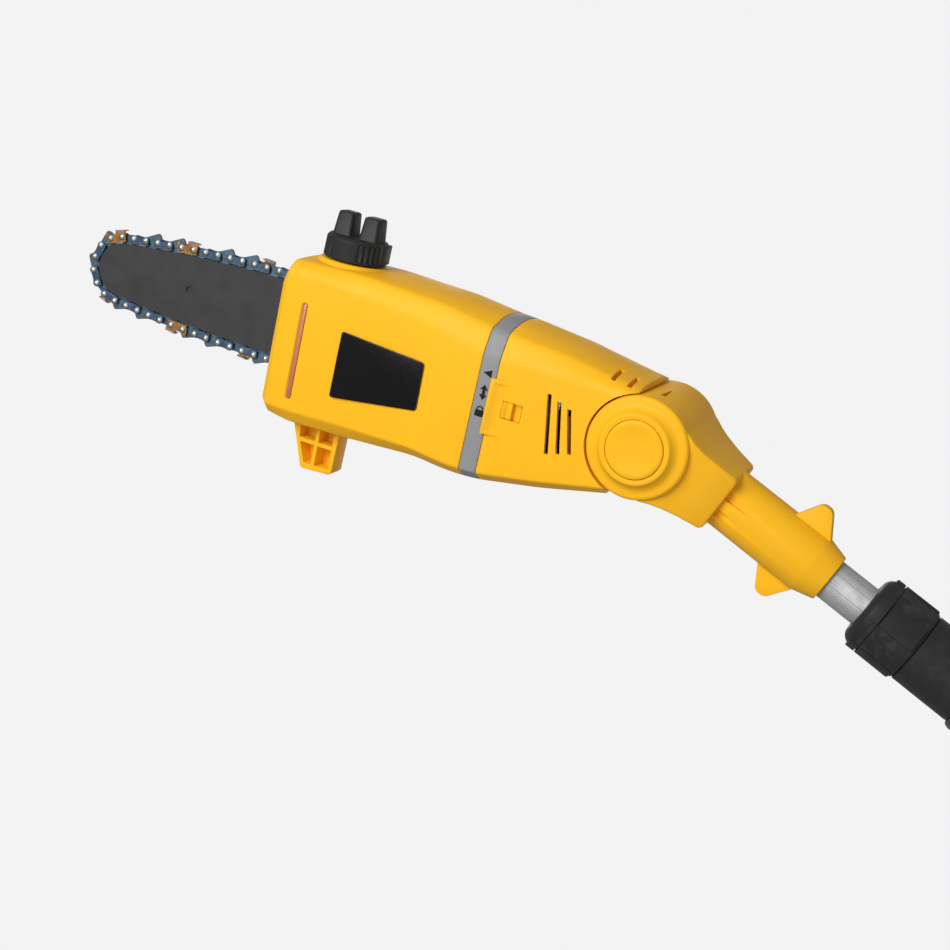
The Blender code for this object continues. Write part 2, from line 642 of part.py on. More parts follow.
def build_drive(frame):
    """Bevel pair, sprocket and their bearings. Both gears' cones meet on the sprocket's axis."""
    pitch_radius = GEAR_RADIUS * PINION_TEETH / GEAR_TEETH
    apex = Vector((SPROCKET_U, 0, 0))
    # Pinion: each loop runs round its teeth, and the loops shrink towards the apex
    loops = []
    for reach in (GEAR_RADIUS, GEAR_RADIUS - GEAR_FACE):
        scale = reach / GEAR_RADIUS
        loop = []
        for k in range(PINION_TEETH):
            step = 2 * pi / PINION_TEETH
            for turn, height in ((-0.27, -1.25), (-0.13, 1.0), (0.13, 1.0), (0.27, -1.25)):
                a = step * (k + 0.5 + turn)
                r = (pitch_radius + height * TOOTH_ADDENDUM) * scale
                loop.append(apex + Vector((reach, r * cos(a), r * sin(a))))
        loops.append(loop)
    pinion = bridged(loops)
    start = SPROCKET_U + GEAR_RADIUS - 0.001
    join(pinion, rod(start, PINION_SHAFT_END, MOTOR_SHAFT_RADIUS, "X", sides=SMALL))
    join(pinion, rod(PINION_SHAFT_END - 0.0055, PINION_SHAFT_END, 0.0115, "X", sides=24))
    join(pinion, *dogs(PINION_SHAFT_END - 0.001, PINION_SHAFT_END + 0.0045, 37))
    part(pinion, "bevel_pinion", STEEL, frame, apex)

    bearing = ring(*PINION_BEARING, MOTOR_SHAFT_RADIUS + GAP, BEARING_RADIUS, sides=24)
    part(bearing, "pinion_bearing", STEEL, frame)

    # Gear: teeth on a cone, rooted on a disc; heights shrink towards the apex as well
    bm = bmesh.new()
    rows = []
    for reach in (GEAR_RADIUS, GEAR_RADIUS - GEAR_FACE):
        scale = reach / GEAR_RADIUS
        row = []
        for k in range(GEAR_TEETH):
            step = 2 * pi / GEAR_TEETH
            for turn, height in ((-0.29, -1.25), (-0.11, 1.0), (0.11, 1.0), (0.29, -1.25)):
                a = step * (k + 0.5 + turn)
                y = (-pitch_radius + height * TOOTH_ADDENDUM) * scale
                row.append(bm.verts.new(apex + Vector((reach * cos(a), y, reach * sin(a)))))
        rows.append(row)
    back = []
    for reach in (GEAR_RADIUS - GEAR_FACE, GEAR_RADIUS):
        row = []
        for vert in rows[0]:
            across = (vert.co - apex) * (reach / GEAR_RADIUS)
            row.append(bm.verts.new(apex + Vector((across.x, GEAR_BACK, across.z))))
        back.append(row)
    cycle = [rows[0], rows[1], back[0], back[1]]
    for low, high in zip(cycle, cycle[1:] + cycle[:1]):
        for i in range(len(low)):
            j = (i + 1) % len(low)
            bm.faces.new((low[i], low[j], high[j], high[i]))
    gear = new_mesh_object(bm)
    join(gear, ring(GEAR_BACK + 0.0005, GEAR_BACK + 0.004, SHAFT_RADIUS + GAP, 0.0155, "Y", apex, 24))
    part(gear, "bevel_gear", STEEL, frame, apex)

    shaft = rod(SHAFT_END, BAR_PLANE + 0.0085, SHAFT_RADIUS, "Y", apex, SMALL)
    part(shaft, "sprocket_shaft", STEEL, frame, apex)
    bearing = ring(0.0085, COVER_PLANE - GAP, SHAFT_RADIUS + GAP, SHAFT_BEARING_RADIUS, "Y", apex, 24)
    part(bearing, "shaft_bearing", STEEL, frame, apex)

    outline = []
    tip, root = SPROCKET_RADIUS, SPROCKET_ROOT
    for k in range(SPROCKET_TEETH):
        step = 2 * pi / SPROCKET_TEETH
        for turn, radius in ((-0.30, root), (-0.16, tip), (0.16, tip), (0.30, root)):
            a = step * (k + turn)
            outline.append((SPROCKET_U + radius * cos(a), radius * sin(a)))
    sprocket = prism(outline, BAR_PLANE - CHAIN_THICKNESS / 2, BAR_PLANE + CHAIN_THICKNESS / 2)
    cut(sprocket, rod(0, 0.04, SHAFT_RADIUS + GAP, "Y", apex, SMALL))
    part(sprocket, "drive_sprocket", STEEL, frame, apex)


def dogs(low, high, first):
    """Three lugs of a claw coupling, each leaving room for the other half's lugs to turn between them."""
    made = []
    for k in range(3):
        start = first + 120 * k
        end = start + DOG_SWEEP
        outline = arc((0, 0), DOG_RADII[1], start, end, 3) + arc((0, 0), DOG_RADII[0], end, start, 3)
        made.append(prism(outline, low, high, "X"))
    return made


def build_oil_system(frame):
    tank = block((HEAD_FRONT + WALL + 0.0015, -0.199), (-0.0338, 0.0085), (-0.0425, 0.0470))
    keep(tank, case_solid(HEAD_FRONT + WALL + 0.001, -0.15, inset=WALL + 0.0012))
    cut(tank, block((-0.3, PEG_U + 0.018), (-0.002, 0.02), (PEG_W - 0.009, PEG_W + 0.009)))
    hollow = block((HEAD_FRONT + WALL + 0.0035, -0.201), (-0.0318, -0.004), (-0.040, 0.044))
    keep(hollow, case_solid(HEAD_FRONT + WALL + 0.003, -0.15, inset=WALL + 0.0032))
    join(tank, rod(0.044, CAP_BASE + 0.006, FILLER_RADIUS, "Z", (CAP_U, CAP_Y, 0), 24))
    cut(tank, hollow)
    cut(tank, rod(0.030, 0.08, FILLER_RADIUS - 0.002, "Z", (CAP_U, CAP_Y, 0), 24))
    part(tank, "oil_tank", TANK, frame)

    low, high = WINDOW_SPAN
    across = (WINDOW_U - WINDOW_HALF, WINDOW_U + WINDOW_HALF)
    window = block(across, (-0.0376, -0.0343), (low + GAP, high - GAP))
    part(window, "oil_window", WINDOW, frame)

    base, rim = CAP_BASE + 0.0012, CAP_BASE + CAP_SKIRT
    profile = [
        (base, FILLER_ROOM),
        (base, CAP_RADIUS),
        (rim - CAP_CHAMFER, CAP_RADIUS),
        (rim, CAP_RADIUS - CAP_CHAMFER),
        (rim, 0),
        (CAP_BASE + 0.0065, 0),
        (CAP_BASE + 0.0065, FILLER_ROOM),
    ]
    cap = turned(profile, "Z", (CAP_U, CAP_Y, 0), ROUND)
    for side in (-1, 1):
        middle = CAP_U + side * 0.0088
        wide = [(middle - 0.0073, CAP_Y - 0.0062), (middle - 0.0052, CAP_Y - 0.0085)]
        wide += [(2 * middle - x, y) for x, y in reversed(wide)]
        wide += [(x, 2 * CAP_Y - y) for x, y in reversed(wide)]
        top = [(middle + (x - middle) * 0.76, CAP_Y + (y - CAP_Y) * 0.74) for x, y in wide]
        low_loop = [(x, y, rim - 0.002) for x, y in wide]
        high_loop = [(x, y, rim + CAP_LUG) for x, y in top]
        join(cap, bridged([low_loop, high_loop]))
    part(cap, "oil_cap", BLACK, frame, (CAP_U, CAP_Y, CAP_BASE))


def build_branch_stop(frame):
    """The toothless foot that steadies the saw against a branch."""
    outline = [(-0.2335, -0.045), (-0.2200, -0.0815), (-0.2185, -0.0830), (-0.1990, -0.0820)]
    outline += [(-0.1972, -0.0800), (-0.1965, -0.045)]
    foot = prism(outline, -0.0185, -0.0035)
    middle, level = -0.2115, -0.0645  # the rib between the pockets, and the shelf across it
    above, below = level + 0.0013, level - 0.0013
    front_rib, rear_rib = middle - 0.0013, middle + 0.0013
    top, floor, rear = -0.040, -0.0790, -0.2000
    pockets = [
        [(-0.2265, top), (front_rib, top), (front_rib, above), (-0.2243, above)],
        [(rear_rib, top), (rear, top), (rear, above), (rear_rib, above)],
        [(-0.2231, below), (front_rib, below), (front_rib, floor), (-0.2180, floor)],
        [(rear_rib, below), (rear, below), (rear, floor), (rear_rib, floor)],
    ]
    for pocket in pockets:
        cut(foot, prism(pocket, -0.03, -0.0105))
    cut(foot, case_solid(HEAD_FRONT - 0.005, -0.17, inset=-GAP - 0.0001))
    part(foot, "branch_stop", YELLOW, frame)


def build_head_trim(frame):
    plate = prism(LABEL_CORNERS, *LABEL_SPAN)
    part(plate, "label_plate", BLACK_LABEL, frame)
    for number, (u, w) in enumerate(HEAD_POSTS, 1):
        screw = screw_piece(COVER_PLANE - 0.003 + GAP, -0.018, (u, w))
        part(screw, f"head_screw_{number}", STEEL, frame, (u, COVER_PLANE, w))


def screw_piece(seat, end, place):
    """A pan-head screw that runs along Y, its head's underside on the seat."""
    u, w = place
    top = seat + SCREW_HEAD_HEIGHT
    profile = [(end, 0), (end, SCREW_RADIUS), (seat, SCREW_RADIUS), (seat, SCREW_HEAD_RADIUS)]
    profile += [(top, SCREW_HEAD_RADIUS), (top, 0)]
    return turned(profile, "Y", (u, 0, w), 12)


# ---------------------------------------------------------------- motor unit


def build_coupling(frame):
    body = case_solid(JOINT_FACE, JOINT_FACE + RING_WIDTH)
    cut(body, case_solid(JOINT_FACE - 0.002, JOINT_FACE + RING_WIDTH + 0.002, inset=0.003))
    part(body, "marking_ring", GREY, frame)

    low = JOINT_FACE + GAP
    front = low - SPIGOT_LENGTH
    spigot = case_solid(low, low + BULKHEAD, inset=0.0033)
    cut(spigot, rod(low - 0.001, low + 0.01, BEARING_RADIUS + GAP, "X", sides=24))
    join(spigot, ring(front, low + 0.001, 0.026, SPIGOT_RADIUS, "X"))
    for k in range(3):
        lug = block((front, low - 0.0055), (-0.0080, 0.0080), (0.028, SPIGOT_RADIUS + LUG_HEIGHT))
        join(spigot, moved(lug, Matrix.Rotation(radians(120 * k + 30), 4, "X")))
    part(spigot, "bayonet_spigot", BLACK, frame)


def build_motor_shells(frame):
    front = JOINT_FACE + RING_WIDTH + GAP
    shell = case_solid(front, MOTOR_REAR)
    cavity = case_solid(front - 0.01, MOTOR_CAVITY_END, inset=WALL)
    cut(cavity, block((REAR_BEARING[0] + 0.0004, REAR_BEARING[1] - 0.0004), (-1, 1), (-1, 1)))
    cut(shell, cavity)
    cut(shell, rod(front, MOTOR_CAVITY_END - 0.001, REAR_BEARING_RADIUS + GAP, "X", sides=24))
    cut(shell, rod(-1, 1, DRUM_RADIUS + DRUM_CLEARANCE, "Y", sides=64))
    cut(shell, block((MOTOR_CHIN, 1), (-1, 1), (-1, 0)))
    for u, w in MOTOR_POSTS:
        post = rod(-0.1, 0.1, POST_RADIUS, "Y", (u, 0, w), 12)
        join(shell, keep(post, case_solid(front, MOTOR_REAR, inset=0.0012)))
        cut(shell, rod(-0.028, 1, SCREW_BORE, "Y", (u, 0, w), 10))
        cut(shell, rod(MOTOR_SCREW_SEAT, 1, SCREW_SINK, "Y", (u, 0, w), 12))
    # Three slanting air slots in each side, two across the top
    for k in range(3):
        u = VENT_U + VENT_STEP * k
        foot = u + VENT_LEAN
        top, bottom = 0.0165 - 0.0028 * k, -0.0196 + 0.002 * k
        slot = [(u - VENT_HALF, top), (u + VENT_HALF, top)]
        slot += [(foot + VENT_HALF, bottom), (foot - VENT_HALF, bottom)]
        cut(shell, prism(slot, -0.05, 0.05))
    for u in TOP_VENTS:
        cut(shell, block((u - VENT_HALF, u + VENT_HALF), (-0.0330, -0.0200), (0.0305, 0.06)))
    # Room for the latch, its opening in the side and the guard round it
    for piece in latch_guard():
        join(shell, piece)
    cut(shell, block(LATCH_WINDOW_U, (-0.05, -0.0345), LATCH_WINDOW_W))
    cut(shell, block((-0.05, -0.02), (-BRACKET_HALF - GAP, BRACKET_HALF + GAP), (-0.0108, 0.0108)))
    near, far = halves(shell)
    part(near, "motor_shell_left", YELLOW, frame)
    part(far, "motor_shell_right", YELLOW, frame)
    for number, (u, w) in enumerate(MOTOR_POSTS, 1):
        screw = screw_piece(MOTOR_SCREW_SEAT + GAP, -0.018, (u, w))
        part(screw, f"motor_screw_{number}", STEEL, frame, (u, MOTOR_SCREW_SEAT, w))


def latch_guard():
    """A low fence round the latch: a bar over the ring's edge, with a rib above and below that fades out."""
    root, proud, over = -0.0385, -0.0418, -0.0399
    front = JOINT_FACE + RING_WIDTH
    bar = [(front + 0.0004, root), (front + 0.0004, over), (front - 0.0020, over), (front - 0.0020, proud)]
    bar += [(front + 0.0010, proud), (front + 0.0074, root)]
    made = [prism(bar, -0.0186, 0.0162, "Z")]
    for w in (0.0149, -0.0185):
        rib = [(front + 0.0010, root), (front + 0.0010, proud + 0.0001), (front + 0.0150, root)]
        made.append(prism(rib, w, w + 0.0012, "Z"))
    return made


def build_latch(frame):
    low, high = LATCH_WINDOW_W
    front = LATCH_WINDOW_U[0] + GAP
    tab = [(front, -0.0368), (front, -0.0398), (front + 0.0022, -0.0402), (front + 0.0045, -0.0385)]
    tab += [(front + 0.0068, -0.0402), (front + 0.0072, -0.0368)]
    latch = prism(tab, low + GAP, high - GAP, "Z")
    plate = block((front - 0.004, front + 0.0115), (-0.0362, -0.0347), (low - 0.003, high + 0.003))
    neck = block((front + 0.0004, front + 0.0068), (-0.0372, -0.0350), (low + GAP, high - GAP))
    join(latch, neck, plate)
    part(latch, "latch_slider", YELLOW, frame, (front, -0.038, 0))
    coil = spring(front + 0.0120, front + 0.0205, 0.0016, 0.0005, 6, "X", (0, -0.0340, -0.0009))
    part(coil, "latch_spring", STEEL, frame)


def build_motor(frame):
    stator = ring(-0.0905, -0.0535, STATOR_BORE, STATOR_RADIUS, sides=ROUND)
    for side in (-1, 1):
        flat = block((-0.1, -0.04), (-0.05, 0.05), tuple(sorted((side * STATOR_FLAT, side * 0.05))))
        cut(stator, flat)
    part(stator, "stator", STEEL, frame)

    profile = [
        (JOINT_FACE - 0.0025, 0),
        (JOINT_FACE - 0.0025, MOTOR_SHAFT_RADIUS),
        (-0.0895, MOTOR_SHAFT_RADIUS),
        (-0.0895, ARMATURE_RADIUS),
        (-0.0545, ARMATURE_RADIUS),
        (-0.0545, 0.0125),
        (-0.0518, 0.0115),
        (-0.0518, 0.0105),
        (-0.0462, 0.0105),
        (-0.0462, MOTOR_SHAFT_RADIUS),
        (-0.0412, MOTOR_SHAFT_RADIUS),
        (-0.0412, 0),
    ]
    part(turned(profile, "X", sides=24), "armature", COPPER, frame)

    fan = ring(-0.0945, -0.0930, MOTOR_SHAFT_RADIUS + GAP, 0.0290, sides=24)
    for k in range(8):
        blade = block((-0.0985, -0.0938), (-0.0006, 0.0006), (0.0135, 0.0285))
        join(fan, moved(blade, Matrix.Rotation(2 * pi * k / 8 + 0.1, 4, "X")))
    part(fan, "cooling_fan", BLACK, frame)

    front = JOINT_FACE + GAP
    end = front - 0.0003
    profile = [(end - 0.0036, 0), (end - 0.0036, 0.0106), (end, 0.0106), (end, MOTOR_SHAFT_RADIUS + GAP)]
    profile += [(end - 0.0030, MOTOR_SHAFT_RADIUS + GAP), (end - 0.0030, 0)]
    claw = join(turned(profile, "X", sides=24), *dogs(end - 0.0082, end - 0.0031, 1.5))
    part(claw, "motor_coupling", STEEL, frame)

    shaft_bore = MOTOR_SHAFT_RADIUS + GAP
    bearing = ring(front + 0.0002, front + BULKHEAD - 0.0002, shaft_bore, BEARING_RADIUS, sides=24)
    part(bearing, "front_bearing", STEEL, frame)
    bearing = ring(*REAR_BEARING, shaft_bore, REAR_BEARING_RADIUS, sides=24)
    part(bearing, "rear_bearing", STEEL, frame)

    # Brush gear: a plate across the motor with a box for each brush
    gear = ring(-0.0512, -0.0493, 0.0145, 0.0262, sides=24)
    for side in (-1, 1):
        holder = block((-0.0512, -0.0463), (-0.004, 0.004), tuple(sorted((side * 0.0110, side * 0.0270))))
        join(gear, holder)
    part(gear, "brush_gear", BLACK, frame)


def build_tilt_bracket(frame):
    """The motor unit's arm: a flange inside the case, and an eye on the pivot pin."""
    flange_rear = MOTOR_CAVITY_END - GAP
    outline = [(flange_rear - 0.003, -0.0160), (flange_rear, -0.0160), (flange_rear, -0.0105)]
    outline += arc((0, 0), BRACKET_EYE_RADIUS, 214.6, 505.4, 22)
    outline += [(flange_rear, 0.0105), (flange_rear, 0.0160), (flange_rear - 0.003, 0.0160)]
    arm = prism(outline, -BRACKET_HALF, BRACKET_HALF)
    cut(arm, rod(-1, 1, PIVOT_PIN_RADIUS + GAP, "Y", sides=24))
    part(arm, "tilt_bracket", STEEL, frame)


# ---------------------------------------------------------------- neck and inner tube


def neck_solid():
    drum = turned(
        [
            (-DRUM_HALF_WIDTH, 0),
            (-DRUM_HALF_WIDTH, DRUM_RADIUS - 0.0015),
            (-DRUM_HALF_WIDTH + 0.0015, DRUM_RADIUS),
            (DRUM_HALF_WIDTH - 0.0015, DRUM_RADIUS),
            (DRUM_HALF_WIDTH, DRUM_RADIUS - 0.0015),
            (DRUM_HALF_WIDTH, 0),
        ],
        "Y",
        sides=64,
    )
    loops = []
    for x, half, top, chamfer in NECK_STATIONS:
        loop = []
        for sy, sz in ((-1, -1), (1, -1), (1, 1), (-1, 1)):
            loop += [(sy * half, sz * (top - chamfer)), (sy * (half - chamfer), sz * top)]
        loops.append(ordered([(x, y, z) for y, z in loop]))
    body = join(drum, bridged(loops))
    profile = [(0.03, 0), (0.03, NECK_TUBE_RADIUS), (NECK_TUBE_END, NECK_TUBE_RADIUS)]
    profile += [(NECK_CONE_END, NECK_CONE_RADIUS), (NECK_CONE_END, 0)]
    join(body, turned(profile, "X", sides=ROUND))
    for side in (-1, 1):
        wing = [(0.0900, 0.010), (0.1035, WING_REACH - 0.001), (0.1055, WING_REACH)]
        wing += [(0.1095, WING_REACH), (0.1115, WING_REACH - 0.0015)]
        wing += [(0.1205, NECK_TUBE_RADIUS + 0.0002), (0.1205, 0.010)]
        join(body, prism([(x, side * z) for x, z in wing], -WING_THICKNESS / 2, WING_THICKNESS / 2))
    collar = turned(
        [
            (-DRUM_HALF_WIDTH + 0.001, 0.016),
            (-DRUM_HALF_WIDTH + 0.001, 0.0255),
            (-DRUM_HALF_WIDTH, 0.0250),
            (-DRUM_HALF_WIDTH - BUTTON_COLLAR_HEIGHT, 0.0206),
            (-DRUM_HALF_WIDTH - BUTTON_COLLAR_HEIGHT, 0.016),
        ],
        "Y",
        sides=48,
    )
    return join(body, collar)


def ordered(loop):
    """A loop across the pole sorted by its angle, so that neighbours follow each other."""
    return sorted(loop, key=lambda p: atan2(p[2], p[1]))


def build_neck(frame):
    body = neck_solid()
    inside = DRUM_HALF_WIDTH - DRUM_WALL
    room = rod(-inside, inside, DRUM_RADIUS - DRUM_WALL, "Y", sides=48)
    wire_room = block((0.0, 0.070), (-0.010, 0.010), (-0.0105, 0.0105))
    join(room, wire_room)
    cut(body, rod(-0.08, BUTTON_FACE + BUTTON_HEIGHT, BUTTON_RADIUS + GAP, "Y", sides=40))
    cut(body, room)
    cut(body, rod(0.0675, 0.2, INNER_TUBE_RADIUS + GAP, "X", sides=ROUND))
    # Opening in the front of the drum that the motor unit's arm swings through
    swing = arc((0, 0), 0.05, 153, 262, 12)
    cut(body, prism([(0, 0)] + swing, -BRACKET_HALF - 0.0008, BRACKET_HALF + 0.0008))
    # Grooves in each side of the round neck, and one air slot in the drum
    groove_floor = NECK_TUBE_RADIUS - GROOVE_DEPTH
    groove_span = (NECK_END + 0.001, NECK_END + 0.001 + GROOVE_LENGTH)
    for across in ((-0.04, -groove_floor), (groove_floor, 0.04)):
        for z in (-0.0065, 0.0035):
            cut(body, block(groove_span, across, (z, z + GROOVE_HEIGHT)))
    slot = block((-0.0011, 0.0011), (-0.0200, 0.0010), (0.024, 0.05))
    cut(body, moved(slot, Matrix.Rotation(radians(-15.5), 4, "Y")))
    for x, z in NECK_POSTS:
        cut(body, rod(-0.014, 1, SCREW_BORE, "Y", (x, 0, z), 10))
        cut(body, rod(NECK_SCREW_SEAT, 1, SCREW_SINK, "Y", (x, 0, z), 12))
    near, far = halves(body)
    part(near, "neck_shell_left", YELLOW, frame)
    part(far, "neck_shell_right", YELLOW, frame)
    for number, (x, z) in enumerate(NECK_POSTS, 1):
        screw = screw_piece(NECK_SCREW_SEAT + GAP, -0.012, (x, z))
        part(screw, f"neck_screw_{number}", STEEL, frame, (x, NECK_SCREW_SEAT, z))

    pin = rod(PIVOT_PIN_START, DRUM_HALF_WIDTH - DRUM_WALL - GAP, PIVOT_PIN_RADIUS, "Y", sides=24)
    part(pin, "pivot_pin", STEEL, frame)
    bore = INNER_TUBE_RADIUS - INNER_TUBE_WALL
    tube = ring(INNER_TUBE_START, INNER_TUBE_END, bore, INNER_TUBE_RADIUS, sides=40)
    part(tube, "inner_tube", ALUMINIUM, frame, (INNER_TUBE_START, 0, 0))


def build_tilt_button(frame):
    under, stem_end, stem_radius = BUTTON_FACE + BUTTON_HEIGHT, PIVOT_PIN_START - 0.0050, 0.0075
    profile = [
        (BUTTON_FACE + 0.0008, 0),
        (BUTTON_FACE, 0.0150),
        (BUTTON_FACE + 0.0008, BUTTON_RADIUS),
        (under, BUTTON_RADIUS),
        (under, stem_radius),
        (stem_end, stem_radius),
        (stem_end, 0),
    ]
    part(turned(profile, "Y", sides=ROUND), "tilt_button", YELLOW, frame, (0, BUTTON_FACE, 0))
    coil = spring(under + GAP, PIVOT_PIN_START, 0.0095, 0.0012, 5, "Y")
    part(coil, "tilt_button_spring", STEEL, frame)


# ---------------------------------------------------------------- outer pole, twist lock, grips


def build_lock(frame):
    bore = OUTER_TUBE_RADIUS - OUTER_TUBE_WALL
    outer = ring(OUTER_TUBE_START, OUTER_TUBE_END, bore, OUTER_TUBE_RADIUS, sides=40)
    part(outer, "outer_tube", ALUMINIUM, frame, (OUTER_TUBE_START, 0, 0))

    # Collar: bored to pass over the inner tube, hollow behind, with six raised pads
    bore = INNER_TUBE_RADIUS + 0.0008
    room = THREAD_RADIUS + 0.0004
    profile = [
        (COLLAR_START, bore),
        (COLLAR_START, COLLAR_RADIUS - 0.0035),
        (COLLAR_START + 0.0022, COLLAR_RADIUS - 0.0010),
        (COLLAR_START + COLLAR_SEAT, COLLAR_RADIUS),
        (COLLAR_END - 0.0035, COLLAR_RADIUS),
        (COLLAR_END, COLLAR_RADIUS - 0.0008),
        (COLLAR_END, room),
        (COLLAR_START + COLLAR_SEAT, room),
        (COLLAR_START + 0.0035, bore),
    ]
    collar = turned(profile, "X", sides=48)
    pad_low, pad_high = COLLAR_START + 0.0045, COLLAR_END - 0.0010
    start, end = COLLAR_PAD_TURN - COLLAR_PAD_SWEEP, COLLAR_PAD_TURN + COLLAR_PAD_SWEEP
    for k in range(COLLAR_PADS):
        outline = arc((0, 0), COLLAR_RADIUS + 0.0013, start, end, 4)
        outline += arc((0, 0), COLLAR_RADIUS - 0.0015, end, start, 4)
        pad = prism(outline, pad_low, pad_high, "X")
        join(collar, moved(pad, Matrix.Rotation(2 * pi * k / COLLAR_PADS, 4, "X")))
    part(collar, "lock_collar", BLACK, frame)

    inner = OUTER_TUBE_RADIUS + GAP
    profile = [
        (OUTER_TUBE_START + 0.0005, inner),
        (OUTER_TUBE_START + 0.0005, THREAD_RADIUS),
        (COLLAR_END + GAP, THREAD_RADIUS),
        (COLLAR_END + GAP, HUB_RADIUS),
        (HUB_END, HUB_RADIUS),
        (HUB_END, inner),
    ]
    part(turned(profile, "X", sides=48), "lock_hub", BLACK, frame)

    # Split collet that the collar squeezes on to the inner tube
    profile = [
        (COLLET_START, INNER_TUBE_RADIUS + GAP),
        (COLLET_START, COLLET_TIP_RADIUS),
        (COLLET_START + 0.0042, COLLET_RADIUS),
        (OUTER_TUBE_START - GAP, COLLET_RADIUS),
        (OUTER_TUBE_START - GAP, INNER_TUBE_RADIUS + GAP),
    ]
    collet = turned(profile, "X", sides=ROUND)
    cut(collet, block((0, 1), (-0.0008, 0.0008), (0, 0.03)))
    part(collet, "lock_collet", GREY, frame)

    grip = ring(HUB_END + GAP, FOAM_END, OUTER_TUBE_RADIUS + GAP, FOAM_RADIUS, sides=40)
    part(grip, "foam_grip", RUBBER, frame, (HUB_END, 0, 0))


def let_out(outline, margin):
    """An outline moved outwards by a margin, or inwards by a negative one, corner by corner."""
    area = sum(a[0] * b[1] - b[0] * a[1] for a, b in zip(outline, outline[1:] + outline[:1]))
    side = 1 if area > 0 else -1
    moved_points = []
    for i, here in enumerate(outline):
        before, after = outline[i - 1], outline[(i + 1) % len(outline)]
        first = Vector((here[0] - before[0], here[1] - before[1])).normalized()
        second = Vector((after[0] - here[0], after[1] - here[1])).normalized()
        across = Vector((first.y + second.y, -first.x - second.x)).normalized()
        reach = side * margin / max(0.5, across.dot(Vector((first.y, -first.x))))
        moved_points.append((here[0] + across.x * reach, here[1] + across.y * reach))
    return moved_points


def handle_outline():
    """The rear handle seen from its side, with its finger loop's outline."""
    outer = [(HANDLE_START, -0.020), (HANDLE_SOCKET_END, -0.0215)]
    outer.append((LOOP_START - 0.020, HANDLE_BOTTOM + 0.022))
    outer += arc((LOOP_START - 0.004, HANDLE_BOTTOM + 0.014), 0.014, 200, 270, 4)
    outer += arc((HANDLE_END - 0.016, HANDLE_BOTTOM + 0.016), 0.016, 270, 345, 4)
    outer += arc((HANDLE_END - 0.022, HANDLE_TOP - 0.018), 0.018, 10, 90, 5)
    outer += [(HANDLE_SOCKET_END + 0.02, HANDLE_TOP + 0.0005), (HANDLE_SOCKET_END, HANDLE_TOP + 0.0015)]
    outer += [(HANDLE_START, HANDLE_TOP - 0.0005)]
    front, rear = LOOP_START + LOOP_CORNER, LOOP_END - LOOP_CORNER
    top, bottom = LOOP_TOP - LOOP_CORNER, LOOP_BOTTOM + LOOP_CORNER
    loop = []
    centres = ((rear, top), (rear, bottom), (front, bottom), (front, top))
    for centre, start in zip(centres, (90, 0, -90, -180)):
        loop += arc(centre, LOOP_CORNER, start, start - 90, 3)
    return outer, loop


def build_handle(frame):
    outer, loop = handle_outline()
    body = prism(outer, -HANDLE_HALF_WIDTH, HANDLE_HALF_WIDTH)
    inside = HANDLE_HALF_WIDTH - WALL
    hollow = prism(let_out(outer, -WALL), -inside, inside)
    cut(hollow, prism(let_out(loop, WALL), -0.05, 0.05))
    cut(hollow, block((0, HANDLE_SOCKET_END + 0.002), (-1, 1), (-1, 1)))
    cut(body, prism(loop, -0.05, 0.05))
    bevel = body.modifiers.new("bevel", "BEVEL")
    bevel.width = HANDLE_EDGE
    bevel.segments = 2
    bevel.limit_method = "ANGLE"
    bevel.angle_limit = radians(60)
    graph = bpy.context.evaluated_depsgraph_get()
    mesh = bpy.data.meshes.new_from_object(body.evaluated_get(graph))
    body.modifiers.clear()
    body.data = mesh
    join(body, rod(HANDLE_START - 0.004, HANDLE_SOCKET_END + 0.006, HANDLE_SOCKET_RADIUS, "X", sides=ROUND))
    # Hollow of the grip, the tube's socket, and the rooms for the switch parts
    cut(body, hollow)
    cut(body, rod(HANDLE_START - 0.01, OUTER_TUBE_END + 0.001, OUTER_TUBE_RADIUS + GAP, "X", sides=40))
    cut(body, block((OUTER_TUBE_END, HANDLE_SOCKET_END + 0.01), (-0.007, 0.007), (-0.0065, 0.0065)))
    trigger_room = [(TRIGGER_X - 0.006, -0.009), (TRIGGER_X - 0.006, -0.030)]
    trigger_room += [(TRIGGER_X + 0.047, -0.030), (TRIGGER_X + 0.047, -0.009)]
    cut(body, prism(trigger_room, -TRIGGER_HALF_WIDTH - GAP, TRIGGER_HALF_WIDTH + GAP))
    along, across = LOCK_OFF_HALF_LENGTH + GAP, LOCK_OFF_HALF_WIDTH + GAP
    cut(body, block((LOCK_OFF_X - along, LOCK_OFF_X + along), (-across, across), (0.010, 0.03)))
    across = INLET_HALF_WIDTH + GAP
    cut(body, block((HANDLE_END - 0.020, HANDLE_END + 0.01), (-across, across), INLET_SPAN))
    join(body, rod(-0.0175, 0.0175, TRIGGER_PIN_RADIUS, "Y", (TRIGGER_X, 0, TRIGGER_PIN), 10))
    post_end = HANDLE_HALF_WIDTH - 0.0010
    for x, z in HANDLE_POSTS:
        join(body, rod(-post_end, post_end, POST_RADIUS, "Y", (x, 0, z), 12))
        cut(body, rod(-0.0145, 1, SCREW_BORE, "Y", (x, 0, z), 10))
        cut(body, rod(HANDLE_HALF_WIDTH - 0.003, 1, SCREW_SINK, "Y", (x, 0, z), 12))
    near, far = halves(body)
    part(near, "handle_shell_left", BLACK, frame)
    part(far, "handle_shell_right", BLACK, frame)
    for number, (x, z) in enumerate(HANDLE_POSTS, 1):
        screw = screw_piece(HANDLE_HALF_WIDTH - 0.003 + GAP, -0.012, (x, z))
        part(screw, f"handle_screw_{number}", STEEL, frame, (x, HANDLE_HALF_WIDTH, z))


